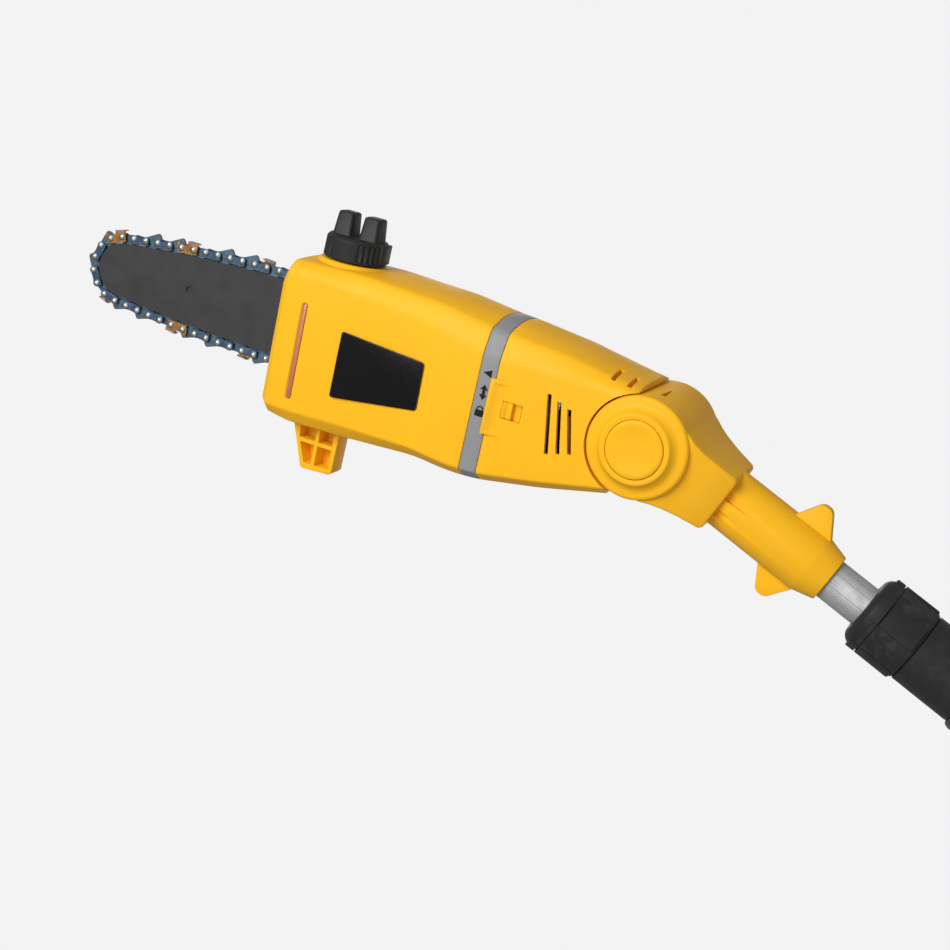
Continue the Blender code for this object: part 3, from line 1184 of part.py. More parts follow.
def build_handle_pieces(frame):
    trigger = [(TRIGGER_X - 0.004, -0.0120), (TRIGGER_X - 0.004, -0.0190), (TRIGGER_X + 0.003, -0.0250)]
    trigger += arc((TRIGGER_X + 0.020, -0.0120), 0.020, 238, 302, 5)
    trigger += [(TRIGGER_X + 0.038, -0.0255), (TRIGGER_X + 0.041, -0.0120)]
    blade = prism(trigger, -TRIGGER_HALF_WIDTH, TRIGGER_HALF_WIDTH)
    cut(blade, rod(-1, 1, TRIGGER_PIN_RADIUS + GAP, "Y", (TRIGGER_X, 0, TRIGGER_PIN), 10))
    part(blade, "trigger", BLACK, frame, (TRIGGER_X, 0, TRIGGER_PIN))

    switch = block((TRIGGER_X + 0.008, TRIGGER_X + 0.043), (-0.0095, 0.0095), (-0.0055, 0.0082))
    part(switch, "switch_box", BLACK, frame)
    coil = spring(-0.0118, -0.0057, 0.0022, 0.0007, 4, "Z", (TRIGGER_X + 0.030, 0, 0))
    part(coil, "trigger_spring", STEEL, frame)

    length, width = LOCK_OFF_HALF_LENGTH, LOCK_OFF_HALF_WIDTH
    button = block((LOCK_OFF_X - length, LOCK_OFF_X + length), (-width, width), (0.0125, HANDLE_TOP + 0.0055))
    under = HANDLE_TOP - WALL - GAP
    length, width = length + 0.0025, width + 0.0025
    join(button, block((LOCK_OFF_X - length, LOCK_OFF_X + length), (-width, width), (under - 0.0018, under)))
    part(button, "lock_off_button", BLACK, frame, (LOCK_OFF_X, 0, HANDLE_TOP))

    low, high = INLET_SPAN
    across = (-INLET_HALF_WIDTH, INLET_HALF_WIDTH)
    inlet = block((HANDLE_END - 0.022, HANDLE_END + 0.007), across, (low + GAP, high - GAP))
    mouth = block((HANDLE_END - 0.012, HANDLE_END + 0.02), (-0.0105, 0.0105), (low + 0.004, high - 0.004))
    cut(inlet, mouth)
    for side in (-1, 1):
        centre = (0, side * 0.0055, (low + high) / 2)
        join(inlet, rod(HANDLE_END - 0.014, HANDLE_END + 0.003, 0.0021, "X", centre, 12))
    part(inlet, "power_inlet", BLACK, frame, (HANDLE_END, 0, (low + high) / 2))


# ---------------------------------------------------------------- assembly


def main():
    for old in list(bpy.data.objects):
        bpy.data.objects.remove(old)
    pole = new_frame("pole_frame", (-GRIP_TO_PIVOT, 0, 0))
    slide = new_frame("inner_pole_frame", parent=pole)
    head = new_frame("head_frame", turn=-HEAD_DROOP, parent=slide)
    build_head_shells(head)
    build_sprocket_cover(head)
    build_bar_set(head)
    build_drive(head)
    build_oil_system(head)
    build_branch_stop(head)
    build_head_trim(head)
    build_coupling(head)
    build_motor_shells(head)
    build_latch(head)
    build_motor(head)
    build_tilt_bracket(head)
    build_neck(slide)
    build_tilt_button(slide)
    build_lock(pole)
    build_handle(pole)
    build_handle_pieces(pole)


main()
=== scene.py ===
"""Detailed looks for a telescoping pole saw, built round its packed frame."""

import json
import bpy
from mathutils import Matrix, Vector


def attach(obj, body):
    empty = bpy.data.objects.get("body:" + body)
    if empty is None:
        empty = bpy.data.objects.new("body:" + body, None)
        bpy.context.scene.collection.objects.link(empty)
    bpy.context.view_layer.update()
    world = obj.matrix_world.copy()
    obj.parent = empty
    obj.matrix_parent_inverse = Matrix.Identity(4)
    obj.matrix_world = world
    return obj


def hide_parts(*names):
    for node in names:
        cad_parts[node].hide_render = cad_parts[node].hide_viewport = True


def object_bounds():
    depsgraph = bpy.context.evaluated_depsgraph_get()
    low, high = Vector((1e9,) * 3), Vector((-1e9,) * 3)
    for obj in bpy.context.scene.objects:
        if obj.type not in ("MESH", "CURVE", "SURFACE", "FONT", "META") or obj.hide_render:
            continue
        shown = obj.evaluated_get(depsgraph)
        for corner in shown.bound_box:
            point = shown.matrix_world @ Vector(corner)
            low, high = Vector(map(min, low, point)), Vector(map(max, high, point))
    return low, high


bl_info = {
    "name": "Telescoping Pole Saw",
    "version": (1, 0, 0),
    "blender": (4, 5, 0),
    "location": "View3D > Sidebar > Pole Saw",
    "description": "Builds the detailed pieces, finishes and stage of a telescoping pole saw",
    "category": "Object",
}

from math import atan2, cos, degrees, pi, radians, sin, sqrt

import bpy
import numpy as np
from mathutils import Matrix, Vector

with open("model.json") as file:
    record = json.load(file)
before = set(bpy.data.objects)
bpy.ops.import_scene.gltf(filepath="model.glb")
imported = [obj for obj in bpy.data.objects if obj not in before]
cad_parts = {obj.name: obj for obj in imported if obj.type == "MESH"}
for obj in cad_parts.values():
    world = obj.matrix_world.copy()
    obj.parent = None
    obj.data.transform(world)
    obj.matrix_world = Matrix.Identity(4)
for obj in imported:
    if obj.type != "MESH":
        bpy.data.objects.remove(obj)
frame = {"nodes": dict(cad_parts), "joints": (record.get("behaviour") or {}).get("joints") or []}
CAD_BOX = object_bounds()
JOINTS = {joint["name"]: joint for joint in frame["joints"]}
PIVOT = Vector(JOINTS["head_tilt"]["pos_m"])
ALONG_HEAD = Vector(JOINTS["head_twist"]["axis"])
POLE = Matrix.Translation(PIVOT)
HEAD = POLE @ Matrix.Rotation(-atan2(ALONG_HEAD.z, ALONG_HEAD.x), 4, "Y")
GAP = 0.0003
SEAM = 0.00006
WALL = 0.0028


def box_in(node, place):
    """A CAD node's box in the pole's or the head's own axes."""
    back = place.inverted()
    points = [back @ vert.co for vert in frame["nodes"][node].data.vertices]
    low = Vector([min(p[i] for p in points) for i in range(3)])
    high = Vector([max(p[i] for p in points) for i in range(3)])
    return low, high


# ---------------------------------------------------------------- what a user can change


def colour_setting(name, description, default):
    return bpy.props.FloatVectorProperty(
        name=name, description=description, subtype="COLOR", default=default, min=0, max=1
    )


def length_setting(name, description, default, low, high):
    return bpy.props.FloatProperty(
        name=name, description=description, default=default, min=low, max=high, unit="LENGTH"
    )


class PoleSawColours(bpy.types.PropertyGroup):
    """Colours of the mouldings and the chain"""

    yellow: colour_setting("Yellow", "Moulded cases", (0.93, 0.475, 0.012))
    black: colour_setting("Black", "Cap, collar and handle", (0.023, 0.023, 0.024))
    grey: colour_setting("Grey", "Marking ring", (0.27, 0.27, 0.275))
    chain_blue: colour_setting("Chain blue", "Blued links", (0.115, 0.180, 0.285))
    chain_bronze: colour_setting("Chain bronze", "Cutter links", (0.55, 0.27, 0.09))
    bar: colour_setting("Bar", "Painted guide bar", (0.034, 0.034, 0.035))


class PoleSawSizes(bpy.types.PropertyGroup):
    """Sizes of the fine detail"""

    pitch: length_setting("Rivet pitch", "Chain rivet to rivet", 0.00953, 0.006, 0.013)
    rivet: length_setting("Rivet head", "Radius of a rivet head", 0.0017, 0.001, 0.003)
    flutes: bpy.props.IntProperty(
        name="Cap flutes", description="Grooves in each grip zone of the oil cap", default=4, min=2, max=8
    )
    floor_drop: length_setting("Floor drop", "Floor below the lowest point", 0.35, 0, 2)


# ---------------------------------------------------------------- finishes


class Wire:
    """A socket of a finish's node tree that takes part in sums."""

    def __init__(self, finish, socket):
        self.finish = finish
        self.socket = socket

    def sum(self, operation, first, second):
        return self.finish.node("ShaderNodeMath", {"operation": operation}, first, second)

    def __add__(self, other):
        return self.sum("ADD", self, other)

    __radd__ = __add__

    def __sub__(self, other):
        return self.sum("SUBTRACT", self, other)

    def __rsub__(self, other):
        return self.sum("SUBTRACT", other, self)

    def __mul__(self, other):
        return self.sum("MULTIPLY", self, other)

    __rmul__ = __mul__

    def __pow__(self, other):
        return self.sum("POWER", self, other)


class Finish:
    """One material: its fixed values go on the shader, and its patterns are wired in."""

    def __init__(self, name, **fixed):
        self.material = bpy.data.materials.new(name)
        self.material.use_nodes = True
        self.tree = self.material.node_tree
        self.shader = self.tree.nodes["Principled BSDF"]
        for key, value in fixed.items():
            self.shader.inputs[key.replace("_", " ")].default_value = value
        self.place = Wire(self, self.tree.nodes.new("ShaderNodeTexCoord").outputs["Object"])

    def node(self, kind, settings, *inputs, out=0, **named):
        made = self.tree.nodes.new(kind)
        for key, value in settings.items():
            if key == "stops":
                for element, (position, colour) in zip(made.color_ramp.elements, value):
                    element.position = position
                    element.color = (*colour, 1)
            else:
                setattr(made, key, value)
        for slot, value in [*enumerate(inputs), *named.items()]:
            socket = made.inputs[slot if isinstance(slot, int) else slot.replace("_", " ")]
            if isinstance(value, Wire):
                self.tree.links.new(value.socket, socket)
            elif value is not None:
                socket.default_value = value
        return Wire(self, made.outputs[out])

    def noise(self, size, detail=3.0, stretch=(1, 1, 1), roughness=0.5):
        """A soft pattern whose features are about one size across, in metres."""
        place = self.node("ShaderNodeMapping", {}, self.place, Scale=[s / size for s in stretch])
        return self.node("ShaderNodeTexNoise", {}, place, Scale=1.0, Detail=detail, Roughness=roughness)

    def cells(self, size, stretch=(1, 1, 1)):
        place = self.node("ShaderNodeMapping", {}, self.place, Scale=[s / size for s in stretch])
        return self.node("ShaderNodeTexVoronoi", {}, place, Scale=1.0)

    def between(self, value, low, high, to_low=0.0, to_high=1.0):
        return self.node("ShaderNodeMapRange", {}, value, low, high, to_low, to_high)

    def mix(self, factor, first, second):
        made = self.tree.nodes.new("ShaderNodeMix")
        made.data_type = "RGBA"
        for slot, value in ((0, factor), (6, first), (7, second)):
            if isinstance(value, Wire):
                self.tree.links.new(value.socket, made.inputs[slot])
            elif slot:
                made.inputs[slot].default_value = (*value, 1)
            else:
                made.inputs[slot].default_value = value
        return Wire(self, made.outputs[2])

    def edges(self):
        """A mask of raised edges, for wear."""
        point = self.node("ShaderNodeNewGeometry", {}, out="Pointiness")
        return self.between(point, 0.53, 0.62)

    def wire(self, slot, value):
        self.tree.links.new(value.socket, self.shader.inputs[slot])

    def bump(self, height, distance, strength=1.0):
        normal = self.node("ShaderNodeBump", {}, Height=height, Distance=distance, Strength=strength)
        self.wire("Normal", normal)


def shade(colour, factor):
    return tuple(min(1.0, channel * factor) for channel in colour)


def moulded(name, colour, roughness, grain=0.00045, depth=0.00004, worn=1.18):
    """Moulded plastic: fine spark-eroded grain, slow shifts of tone, rubbed edges and a little dust."""
    made = Finish(name, IOR=1.48, Specular_IOR_Level=0.18)
    cloud = made.noise(0.045, 4)
    speck = made.noise(0.0016, 2)
    tone = made.between(cloud * 0.75 + speck * 0.25, 0.3, 0.7)
    body = made.mix(tone, shade(colour, 0.955), shade(colour, 1.03))
    rubbed = made.edges() * made.between(made.noise(0.006, 4), 0.45, 0.62)
    made.wire("Base Color", made.mix(rubbed * 0.5, body, shade(colour, worn)))
    smear = made.noise(0.02, 5, (1, 1, 0.35))
    made.wire(
        "Roughness", made.between(smear, 0.3, 0.72, roughness - 0.055, roughness + 0.075) - rubbed * 0.06
    )
    made.bump(made.noise(grain, 2) + made.noise(0.012, 2) * 0.6, depth)
    return made.material


def metal(name, colour, roughness, along=(1, 1, 1), size=0.0012, depth=0.00001, dirt=0.25):
    """Metal with a lay left by its making, small stains and brighter edges."""
    made = Finish(name, Metallic=1.0)
    lay = made.noise(size, 4, along)
    stain = made.between(made.noise(0.009, 5), 0.42, 0.75)
    body = made.mix(lay, shade(colour, 0.82), shade(colour, 1.1))
    body = made.mix(stain * dirt, body, shade(colour, 0.42))
    made.wire("Base Color", made.mix(made.edges() * 0.6, body, shade(colour, 1.55)))
    made.wire("Roughness", made.between(lay, 0.25, 0.75, roughness - 0.08, roughness + 0.1) + stain * 0.12)
    made.bump(lay, depth)
    return made.material


def painted_bar(colour):
    """Matt black paint on steel, with fine lengthwise scuffs where the chain and wood rub."""
    made = Finish("bar_paint", IOR=1.5, Specular_IOR_Level=0.4)
    scuff = made.between(made.noise(0.0011, 3, (0.06, 1, 1)), 0.60, 0.78)
    patch = made.between(made.noise(0.03, 3), 0.45, 0.7)
    cloud = made.noise(0.012, 4)
    body = made.mix(cloud, shade(colour, 0.82), shade(colour, 1.25))
    made.wire("Base Color", made.mix(scuff * patch * 0.35, body, shade(colour, 3.2)))
    made.wire("Roughness", made.between(cloud, 0.3, 0.7, 0.42, 0.55) - scuff * patch * 0.12)
    made.bump(made.noise(0.0006, 2) + scuff * -0.5, 0.00002)
    return made.material


def foam():
    """Closed-cell foam sleeve: a skin of small pits, matt and a little mottled."""
    made = Finish("foam_skin", IOR=1.45, Sheen_Weight=0.15, Sheen_Roughness=0.5)
    pits = made.cells(0.0011)
    cloud = made.noise(0.02, 4)
    dark = made.mix(cloud, (0.013, 0.013, 0.014), (0.027, 0.027, 0.028))
    # Painted shade: the colour darkens towards each pit's bottom, where the bump sinks.
    made.wire("Base Color", made.mix(made.between(pits, 0.1, 0.6), shade((0.02, 0.02, 0.021), 0.5), dark))
    made.wire("Roughness", made.between(cloud, 0.3, 0.7, 0.78, 0.92))
    made.bump(pits * 0.8 + made.noise(0.0004, 2) * 0.3, 0.00025)
    return made.material


def window_plastic():
    """Clear strip with red-brown oil behind it, its level marked by a change of tone."""
    made = Finish("oil_strip", IOR=1.49, Coat_Weight=0.6, Coat_Roughness=0.08)
    height = made.node("ShaderNodeSeparateXYZ", {}, made.place, out="Z")
    cloud = made.noise(0.004, 3)
    level = made.between(height + cloud * 0.004, -0.135, -0.075)
    oil = made.mix(level, (0.36, 0.095, 0.045), (0.56, 0.17, 0.10))
    made.wire("Base Color", made.mix(cloud * 0.25, oil, (0.75, 0.33, 0.22)))
    made.wire("Roughness", made.between(cloud, 0.3, 0.7, 0.16, 0.28))
    made.bump(made.noise(0.002, 2), 0.00003)
    return made.material


def label_gloss():
    """Plain gloss label with faint orange peel and hairline scratches."""
    made = Finish("label_gloss", IOR=1.5, Specular_IOR_Level=0.22)
    peel = made.noise(0.0015, 2)
    hair = made.between(made.noise(0.0009, 3, (0.08, 1, 1)), 0.66, 0.76)
    made.wire("Base Color", made.mix(peel, (0.0035, 0.0035, 0.0038), (0.0062, 0.0062, 0.0062)))
    made.wire("Roughness", made.between(peel, 0.3, 0.7, 0.26, 0.34) + hair * 0.15)
    made.bump(peel, 0.00002)
    return made.material


def tank_plastic():
    made = Finish("tank_plastic", IOR=1.5)
    cloud = made.noise(0.012, 4)
    made.wire("Base Color", made.mix(cloud, (0.55, 0.36, 0.22), (0.72, 0.55, 0.40)))
    made.wire("Roughness", made.between(cloud, 0.3, 0.7, 0.3, 0.42))
    made.bump(made.noise(0.002, 2), 0.00003)
    return made.material


finishes = {}


def finish(name):
    """Each finish is made once, from the colours in the sidebar."""
    colours = bpy.context.scene.pole_saw_colours
    makers = {
        "yellow": lambda: moulded("yellow_moulding", tuple(colours.yellow), 0.46),
        "black": lambda: moulded("black_moulding", tuple(colours.black), 0.42, worn=2.2),
        "soft_black": lambda: moulded(
            "soft_black_moulding", shade(colours.black, 0.9), 0.62, 0.0009, 0.00012, 1.6
        ),
        "grey": lambda: moulded("grey_moulding", tuple(colours.grey), 0.38, worn=1.3),
        "mark": lambda: moulded("printed_mark", (0.012, 0.012, 0.012), 0.5),
        "aluminium": lambda: metal(
            "drawn_aluminium", (0.50, 0.50, 0.505), 0.66, (0.02, 1, 1), 0.0012, 0.00001, 0.1
        ),
        "steel": lambda: metal("plain_steel", (0.50, 0.505, 0.52), 0.30),
        "worn_steel": lambda: metal("worn_steel", (0.34, 0.34, 0.35), 0.36, (0.2, 1, 1)),
        "chain_blue": lambda: metal(
            "blued_links", tuple(colours.chain_blue), 0.34, (1, 1, 1), 0.0025, 0.00002, 0.4
        ),
        "chain_slate": lambda: metal(
            "slate_links", (0.12, 0.185, 0.24), 0.42, (1, 1, 1), 0.0025, 0.00002, 0.3
        ),
        "chain_bronze": lambda: metal(
            "bronzed_links", tuple(colours.chain_bronze), 0.33, (1, 1, 1), 0.0025, 0.00002
        ),
        "rivet": lambda: metal("rivet_heads", (0.60, 0.54, 0.45), 0.30, (1, 1, 1), 0.0008, 0.00001, 0.2),
        "copper": lambda: metal("wound_copper", (0.58, 0.26, 0.11), 0.35, (6, 1, 1), 0.002, 0.00015),
        "bar": lambda: painted_bar(tuple(colours.bar)),
        "foam": foam,
        "window": window_plastic,
        "label": label_gloss,
        "tank": tank_plastic,
    }
    if name not in finishes:
        finishes[name] = makers[name]()
    return finishes[name]


# ---------------------------------------------------------------- modelling helpers

# How a turned point (along, across, across) and an extruded one (outline, outline, depth) lie on each axis
TURNED = {"X": lambda t, a, b: (t, a, b), "Y": lambda t, a, b: (b, t, a), "Z": lambda t, a, b: (a, b, t)}
EXTRUDED = {"X": lambda a, b, t: (t, a, b), "Y": lambda a, b, t: (a, t, b), "Z": lambda a, b, t: (a, b, t)}


def select_only(*pieces):
    bpy.ops.object.select_all(action="DESELECT")
    for piece in pieces:
        piece.select_set(True)
    bpy.context.view_layer.objects.active = pieces[0]


def editing(piece, *steps, pick="SELECT"):
    """Runs edit-mode operators on one piece, with everything in it selected or nothing."""
    select_only(piece)
    bpy.ops.object.mode_set(mode="EDIT")
    bpy.ops.mesh.select_all(action=pick)
    for step in steps:
        step()
    bpy.ops.object.mode_set(mode="OBJECT")
    return piece


def tidy(piece):
    """Merges doubled corners and points all faces outwards."""
    return editing(
        piece,
        lambda: bpy.ops.mesh.remove_doubles(threshold=0.000002),
        lambda: bpy.ops.mesh.normals_make_consistent(inside=False),
    )


def apply(piece, kind, **settings):
    """Adds a modifier and applies it."""
    select_only(piece)
    modifier = piece.modifiers.new("step", kind)
    for key, value in settings.items():
        setattr(modifier, key, value)
    bpy.ops.object.modifier_apply(modifier=modifier.name)
    return piece


def cut(piece, *tools, operation="DIFFERENCE"):
    for tool in tools:
        apply(piece, "BOOLEAN", object=tool, operation=operation, solver="EXACT")
        bpy.data.objects.remove(tool)
    return piece


def join(piece, *tools):
    return cut(piece, *tools, operation="UNION")


def keep(piece, tool):
    return cut(piece, tool, operation="INTERSECT")


def ease(piece, width, segments=2, angle=30):
    """Rounds every edge sharper than an angle."""
    limit = {"limit_method": "ANGLE", "angle_limit": radians(angle), "use_clamp_overlap": True}
    return apply(piece, "BEVEL", width=width, segments=segments, **limit)


def wrapped(name, loops, closed=False):
    """A sheet rolled into a skin through equal loops. Its ends are filled unless it closes on itself."""
    rows = loops + loops[:1] if closed else loops
    count = len(loops[0])
    bpy.ops.object.select_all(action="DESELECT")
    bpy.ops.mesh.primitive_grid_add(x_subdivisions=count, y_subdivisions=len(rows) - 1, size=1)
    piece = bpy.context.object
    piece.name = name
    points = [point for loop in rows for point in (*loop, loop[0])]
    piece.data.vertices.foreach_set("co", [value for point in points for value in point])
    editing(piece, lambda: bpy.ops.mesh.remove_doubles(threshold=0.0000001))
    if not closed:
        editing(piece, lambda: bpy.ops.mesh.fill_holes(sides=0))
    return tidy(piece)


def turned(name, profile, axis="X", centre=(0, 0, 0), sides=64, wobble=None, closed=False):
    """A turned skin from (along, radius) points. A wobble changes the radius round the turn."""
    loops = []
    for along, radius in profile:
        loop = []
        for k in range(sides):
            angle = 2 * pi * k / sides
            r = radius + (wobble(angle, along) if wobble else 0.0)
            loop.append(Vector(TURNED[axis](along, r * cos(angle), r * sin(angle))) + Vector(centre))
        loops.append(loop)
    return wrapped(name, loops, closed)


def tube(name, profile, axis="X", centre=(0, 0, 0), sides=64):
    """A turned ring whose profile closes on itself."""
    return turned(name, profile, axis, centre, sides, closed=True)


def arc(centre, radius, start, end, count):
    angles = [radians(start + (end - start) * k / count) for k in range(count + 1)]
    return [(centre[0] + radius * cos(a), centre[1] + radius * sin(a)) for a in angles]


def rounded(points, radii, steps=4):
    """A closed outline with each corner eased by its own radius."""
    made = []
    for i, here in enumerate(points):
        here = Vector(here)
        before, after = Vector(points[i - 1]), Vector(points[(i + 1) % len(points)])
        radius = radii[i] if isinstance(radii, (list, tuple)) else radii
        if not radius:
            made.append(tuple(here))
            continue
        ends = []
        for other in (before, after):
            reach = min(radius, 0.46 * (other - here).length)
            ends.append(here + (other - here).normalized() * reach)
        for k in range(steps + 1):
            t = k / steps
            made.append(tuple(ends[0] * (1 - t) ** 2 + here * 2 * t * (1 - t) + ends[1] * t * t))
    return made


def slab(name, outline, low, high, axis="Y"):
    """An outline filled and extruded between two planes."""
    order = EXTRUDED[axis]
    bpy.ops.object.select_all(action="DESELECT")
    bpy.ops.mesh.primitive_circle_add(vertices=len(outline), fill_type="NGON")
    piece = bpy.context.object
    piece.name = name
    piece.data.vertices.foreach_set("co", [v for a, b in outline for v in order(a, b, low)])
    step = order(0, 0, high - low)
    editing(piece, lambda: bpy.ops.mesh.extrude_region_move(TRANSFORM_OT_translate={"value": step}))
    return tidy(piece)


def brick(x, y, z):
    """A plain block used as a tool for cutting."""
    middle = [(a + b) / 2 for a, b in (x, y, z)]
    size = [b - a for a, b in (x, y, z)]
    bpy.ops.object.select_all(action="DESELECT")
    bpy.ops.mesh.primitive_cube_add(size=1, location=middle, scale=size)
    bpy.ops.object.transform_apply(location=True, rotation=True, scale=True)
    return bpy.context.object


def peg(low, high, radius, axis="Y", centre=(0, 0, 0), sides=32):
    return turned("tool", [(low, radius), (high, radius)], axis, centre, sides)


def turned_about(piece, angle, axis, centre=(0, 0, 0)):
    middle = Matrix.Translation(centre)
    piece.data.transform(middle @ Matrix.Rotation(angle, 4, axis) @ middle.inverted())
    return piece


def twin(piece):
    made = bpy.data.objects.new("twin", piece.data.copy())
    bpy.context.scene.collection.objects.link(made)
    return made


def side_of(piece, name, near):
    """The near or the far half of a case, cut at its seam."""
    half = twin(piece)
    half.name = name
    edge = -SEAM / 2 if near else SEAM / 2
    return editing(
        half,
        lambda: bpy.ops.mesh.bisect(
            plane_co=(0, edge, 0), plane_no=(0, 1, 0), use_fill=True, clear_outer=near, clear_inner=not near
        ),
    )


def halves(case, name, look, place, body, shell):
    """Parts a case at its seam into a near and a far half, which replace its left and right CAD shells."""
    near, far = side_of(case, "near", True), side_of(case, "far", False)
    bpy.data.objects.remove(case)
    done(near, name + "_near", look, place, body, shell + "_left")
    done(far, name + "_far", look, place, body, shell + "_right")


def eased_copy(node, name, place, width, segments=2):
    """A CAD node's own shape with its edges rounded, in the pole's or the head's axes."""
    piece = bpy.data.objects.new(name, frame["nodes"][node].data.copy())
    bpy.context.scene.collection.objects.link(piece)
    piece.data.transform(place.inverted())
    editing(
        piece,
        lambda: bpy.ops.mesh.remove_doubles(threshold=0.000001),
        lambda: bpy.ops.mesh.dissolve_limited(angle_limit=radians(0.5)),
    )
    return ease(piece, width, segments)


def done(piece, name, look, place, body, *nodes, angle=32):
    """Places a finished piece, gives it its finish and hangs it on its body."""
    piece.name = name
    piece.data.transform(place)
    select_only(piece)
    piece.data.materials.clear()
    piece.data.materials.append(finish(look))
    bpy.ops.object.shade_smooth_by_angle(angle=radians(angle), keep_sharp_edges=False)
    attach(piece, body)
    if nodes:
        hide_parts(*nodes)
    return piece


def coat(look, *nodes):
    """Gives CAD nodes a finish of their own."""
    for node in nodes:
        data = frame["nodes"][node].data
        data.materials.clear()
        data.materials.append(finish(look))


# ---------------------------------------------------------------- the case's form

# Along the head: half width, top, crown across and height, shoulder, skirt, bottom across and height
CASE = [
    (-0.248, 0.0380, 0.0525, 0.0320, 0.0510, 0.0450, -0.0430, 0.0310, -0.0488),
    (-0.229, 0.0380, 0.0535, 0.0320, 0.0520, 0.0450, -0.0435, 0.0310, -0.0522),
    (-0.192, 0.0380, 0.0550, 0.0325, 0.0525, 0.0430, -0.0425, 0.0300, -0.0515),
    (-0.140, 0.0387, 0.0545, 0.0333, 0.0498, 0.0370, -0.0420, 0.0285, -0.0490),
    (-0.119, 0.0392, 0.0525, 0.0335, 0.0465, 0.0320, -0.0445, 0.0275, -0.0515),
    (-0.105, 0.0395, 0.0512, 0.0335, 0.0440, 0.0290, -0.0450, 0.0270, -0.0518),
    (-0.094, 0.0395, 0.0505, 0.0335, 0.0435, 0.0290, -0.0445, 0.0265, -0.0510),
    (-0.055, 0.0390, 0.0455, 0.0325, 0.0405, 0.0295, -0.0380, 0.0275, -0.0440),
    (-0.007, 0.0385, 0.0352, 0.0310, 0.0330, 0.0295, -0.0280, 0.0300, -0.0325),
]
JOINT_FACE, RING_REAR, FRONT, REAR = -0.105, -0.094, -0.248, -0.007


def case_values(u):
    """The case's measures at a place along it, with the stations blended softly."""
    table = np.array(CASE)
    reach = np.linspace(u - 0.005, u + 0.005, 5)
    return np.mean([[np.interp(r, table[:, 0], table[:, c]) for c in range(1, 9)] for r in reach], axis=0)


def case_loop(u, inset=0.0, nose=0.0):
    """One eased loop round the case. nose draws the top down where the front corner rounds off."""
    half, top, crown_y, crown_w, shoulder, skirt, low_y, low_w = case_values(u)
    side = [
        (0.55 * crown_y, top - 0.25 * (top - crown_w)), (crown_y, crown_w), (half, shoulder), (half, skirt),
        (low_y, low_w),
    ]
    points = [(0, top)] + side + [(-y, w) for y, w in reversed(side)]
    ease_side = [0.018, 0.0034, 0.0042, 0.0016, 0.0020]
    radii = [0.018] + ease_side + ease_side[::-1]
    loop = rounded(points, radii)
    across, up = 1 - inset / half, 1 - inset / top
    drop = 1 - nose / top
    return [(u, y * across, w * up * (drop if w > 0 else 1)) for y, w in loop]


def quarter(depth, radius):
    """How far a quarter-round edge is drawn in, at a depth behind its face."""
    left = max(0.0, radius - depth)
    return radius - sqrt(radius * radius - left * left)


def case_skin(name, start, end, front_edge=0.0, rear_edge=0.0, nose=0.0, facet=0.0):
    """The case's outside between two planes, with its end edges rounded or its front one cut to a facet."""
    steps = [0.0, 0.15, 0.4, 0.75, 1.2, 2.0]
    stations = {round(start + d * 0.001 * k, 6) for d, k in ((max(front_edge, nose) * 400, s) for s in steps)}
    stations |= {round(end - rear_edge * s * 0.5, 6) for s in steps}
    stations |= {
        round(start + d, 6) for d in (0.0002, 0.0006, facet - 0.0005, facet, facet + 0.0005) if facet
    }
    stations |= {round(u, 6) for u in np.arange(start, end, 0.006)} | {start, end}
    loops = []
    for u in sorted(u for u in stations if start <= u <= end):
        inset = max(
            quarter(u - start, front_edge) if front_edge else 0,
            quarter(end - u, rear_edge) if rear_edge else 0,
        )
        if facet:
            bend = [max(0.0, facet - (u - start) - d) for d in (-0.0004, 0.0, 0.0004)]
            inset = max(inset, sum(bend) / 3 * 0.85 + (0.0004 if u == start else 0))
        drop = quarter(u - start, nose) if nose else 0
        loops.append(case_loop(u, inset, drop))
    return wrapped(name, loops)


def case_room(start, end, inset=WALL):
    """The hollow inside the case."""
    stations = (start, *np.arange(start + 0.012, end - 0.006, 0.02), end)
    return wrapped("room", [case_loop(u, inset) for u in stations])


# ---------------------------------------------------------------- saw head pieces

BAR_MIDDLE = (box_in("guide_bar", HEAD)[0].y + box_in("guide_bar", HEAD)[1].y) / 2
BAR_RISE = 0.001
COVER_PLANE = 0.014
COVER_REAR = -0.1195
CAP_PLACE = (-0.2165, -0.004)
CAP_BASE = 0.0552
WINDOW_U, WINDOW_LOW, WINDOW_HIGH = -0.2285, -0.036, 0.0265
STUD_U, STUD_HOLE = -0.196, 0.0043
SPROCKET_U, SHAFT_HOLE = -0.158, 0.0093
CAP_RADIUS, CAP_HEIGHT = 0.0205, 0.0155


def cap_seat():
    """The raised round seat under the oil cap, flared into the case."""
    profile = [
        (0.048, 0.0115), (0.048, 0.0245), (0.0520, 0.0240), (0.0540, 0.0226), (CAP_BASE - 0.0004, 0.0219),
        (CAP_BASE, 0.0214), (CAP_BASE, 0.0115),
    ]
    return tube("cap_seat", profile, "Z", (*CAP_PLACE, 0), 96)


def capsule(u, low, high, half, steps=8):
    """An upright outline with round ends."""
    return arc((u, high - half), half, 0, 180, steps) + arc((u, low + half), half, 180, 360, steps)


def label_outline(grow=0.0):
    corners = [(-0.1992, 0.0170), (-0.1412, 0.0125), (-0.1405, -0.0180), (-0.1995, -0.0260)]
    middle = Vector((-0.170, -0.0035))
    out = [middle + (Vector(c) - middle) * (1 + grow / 0.03) for c in corners]
    return rounded([tuple(p) for p in out], 0.0022, 5)


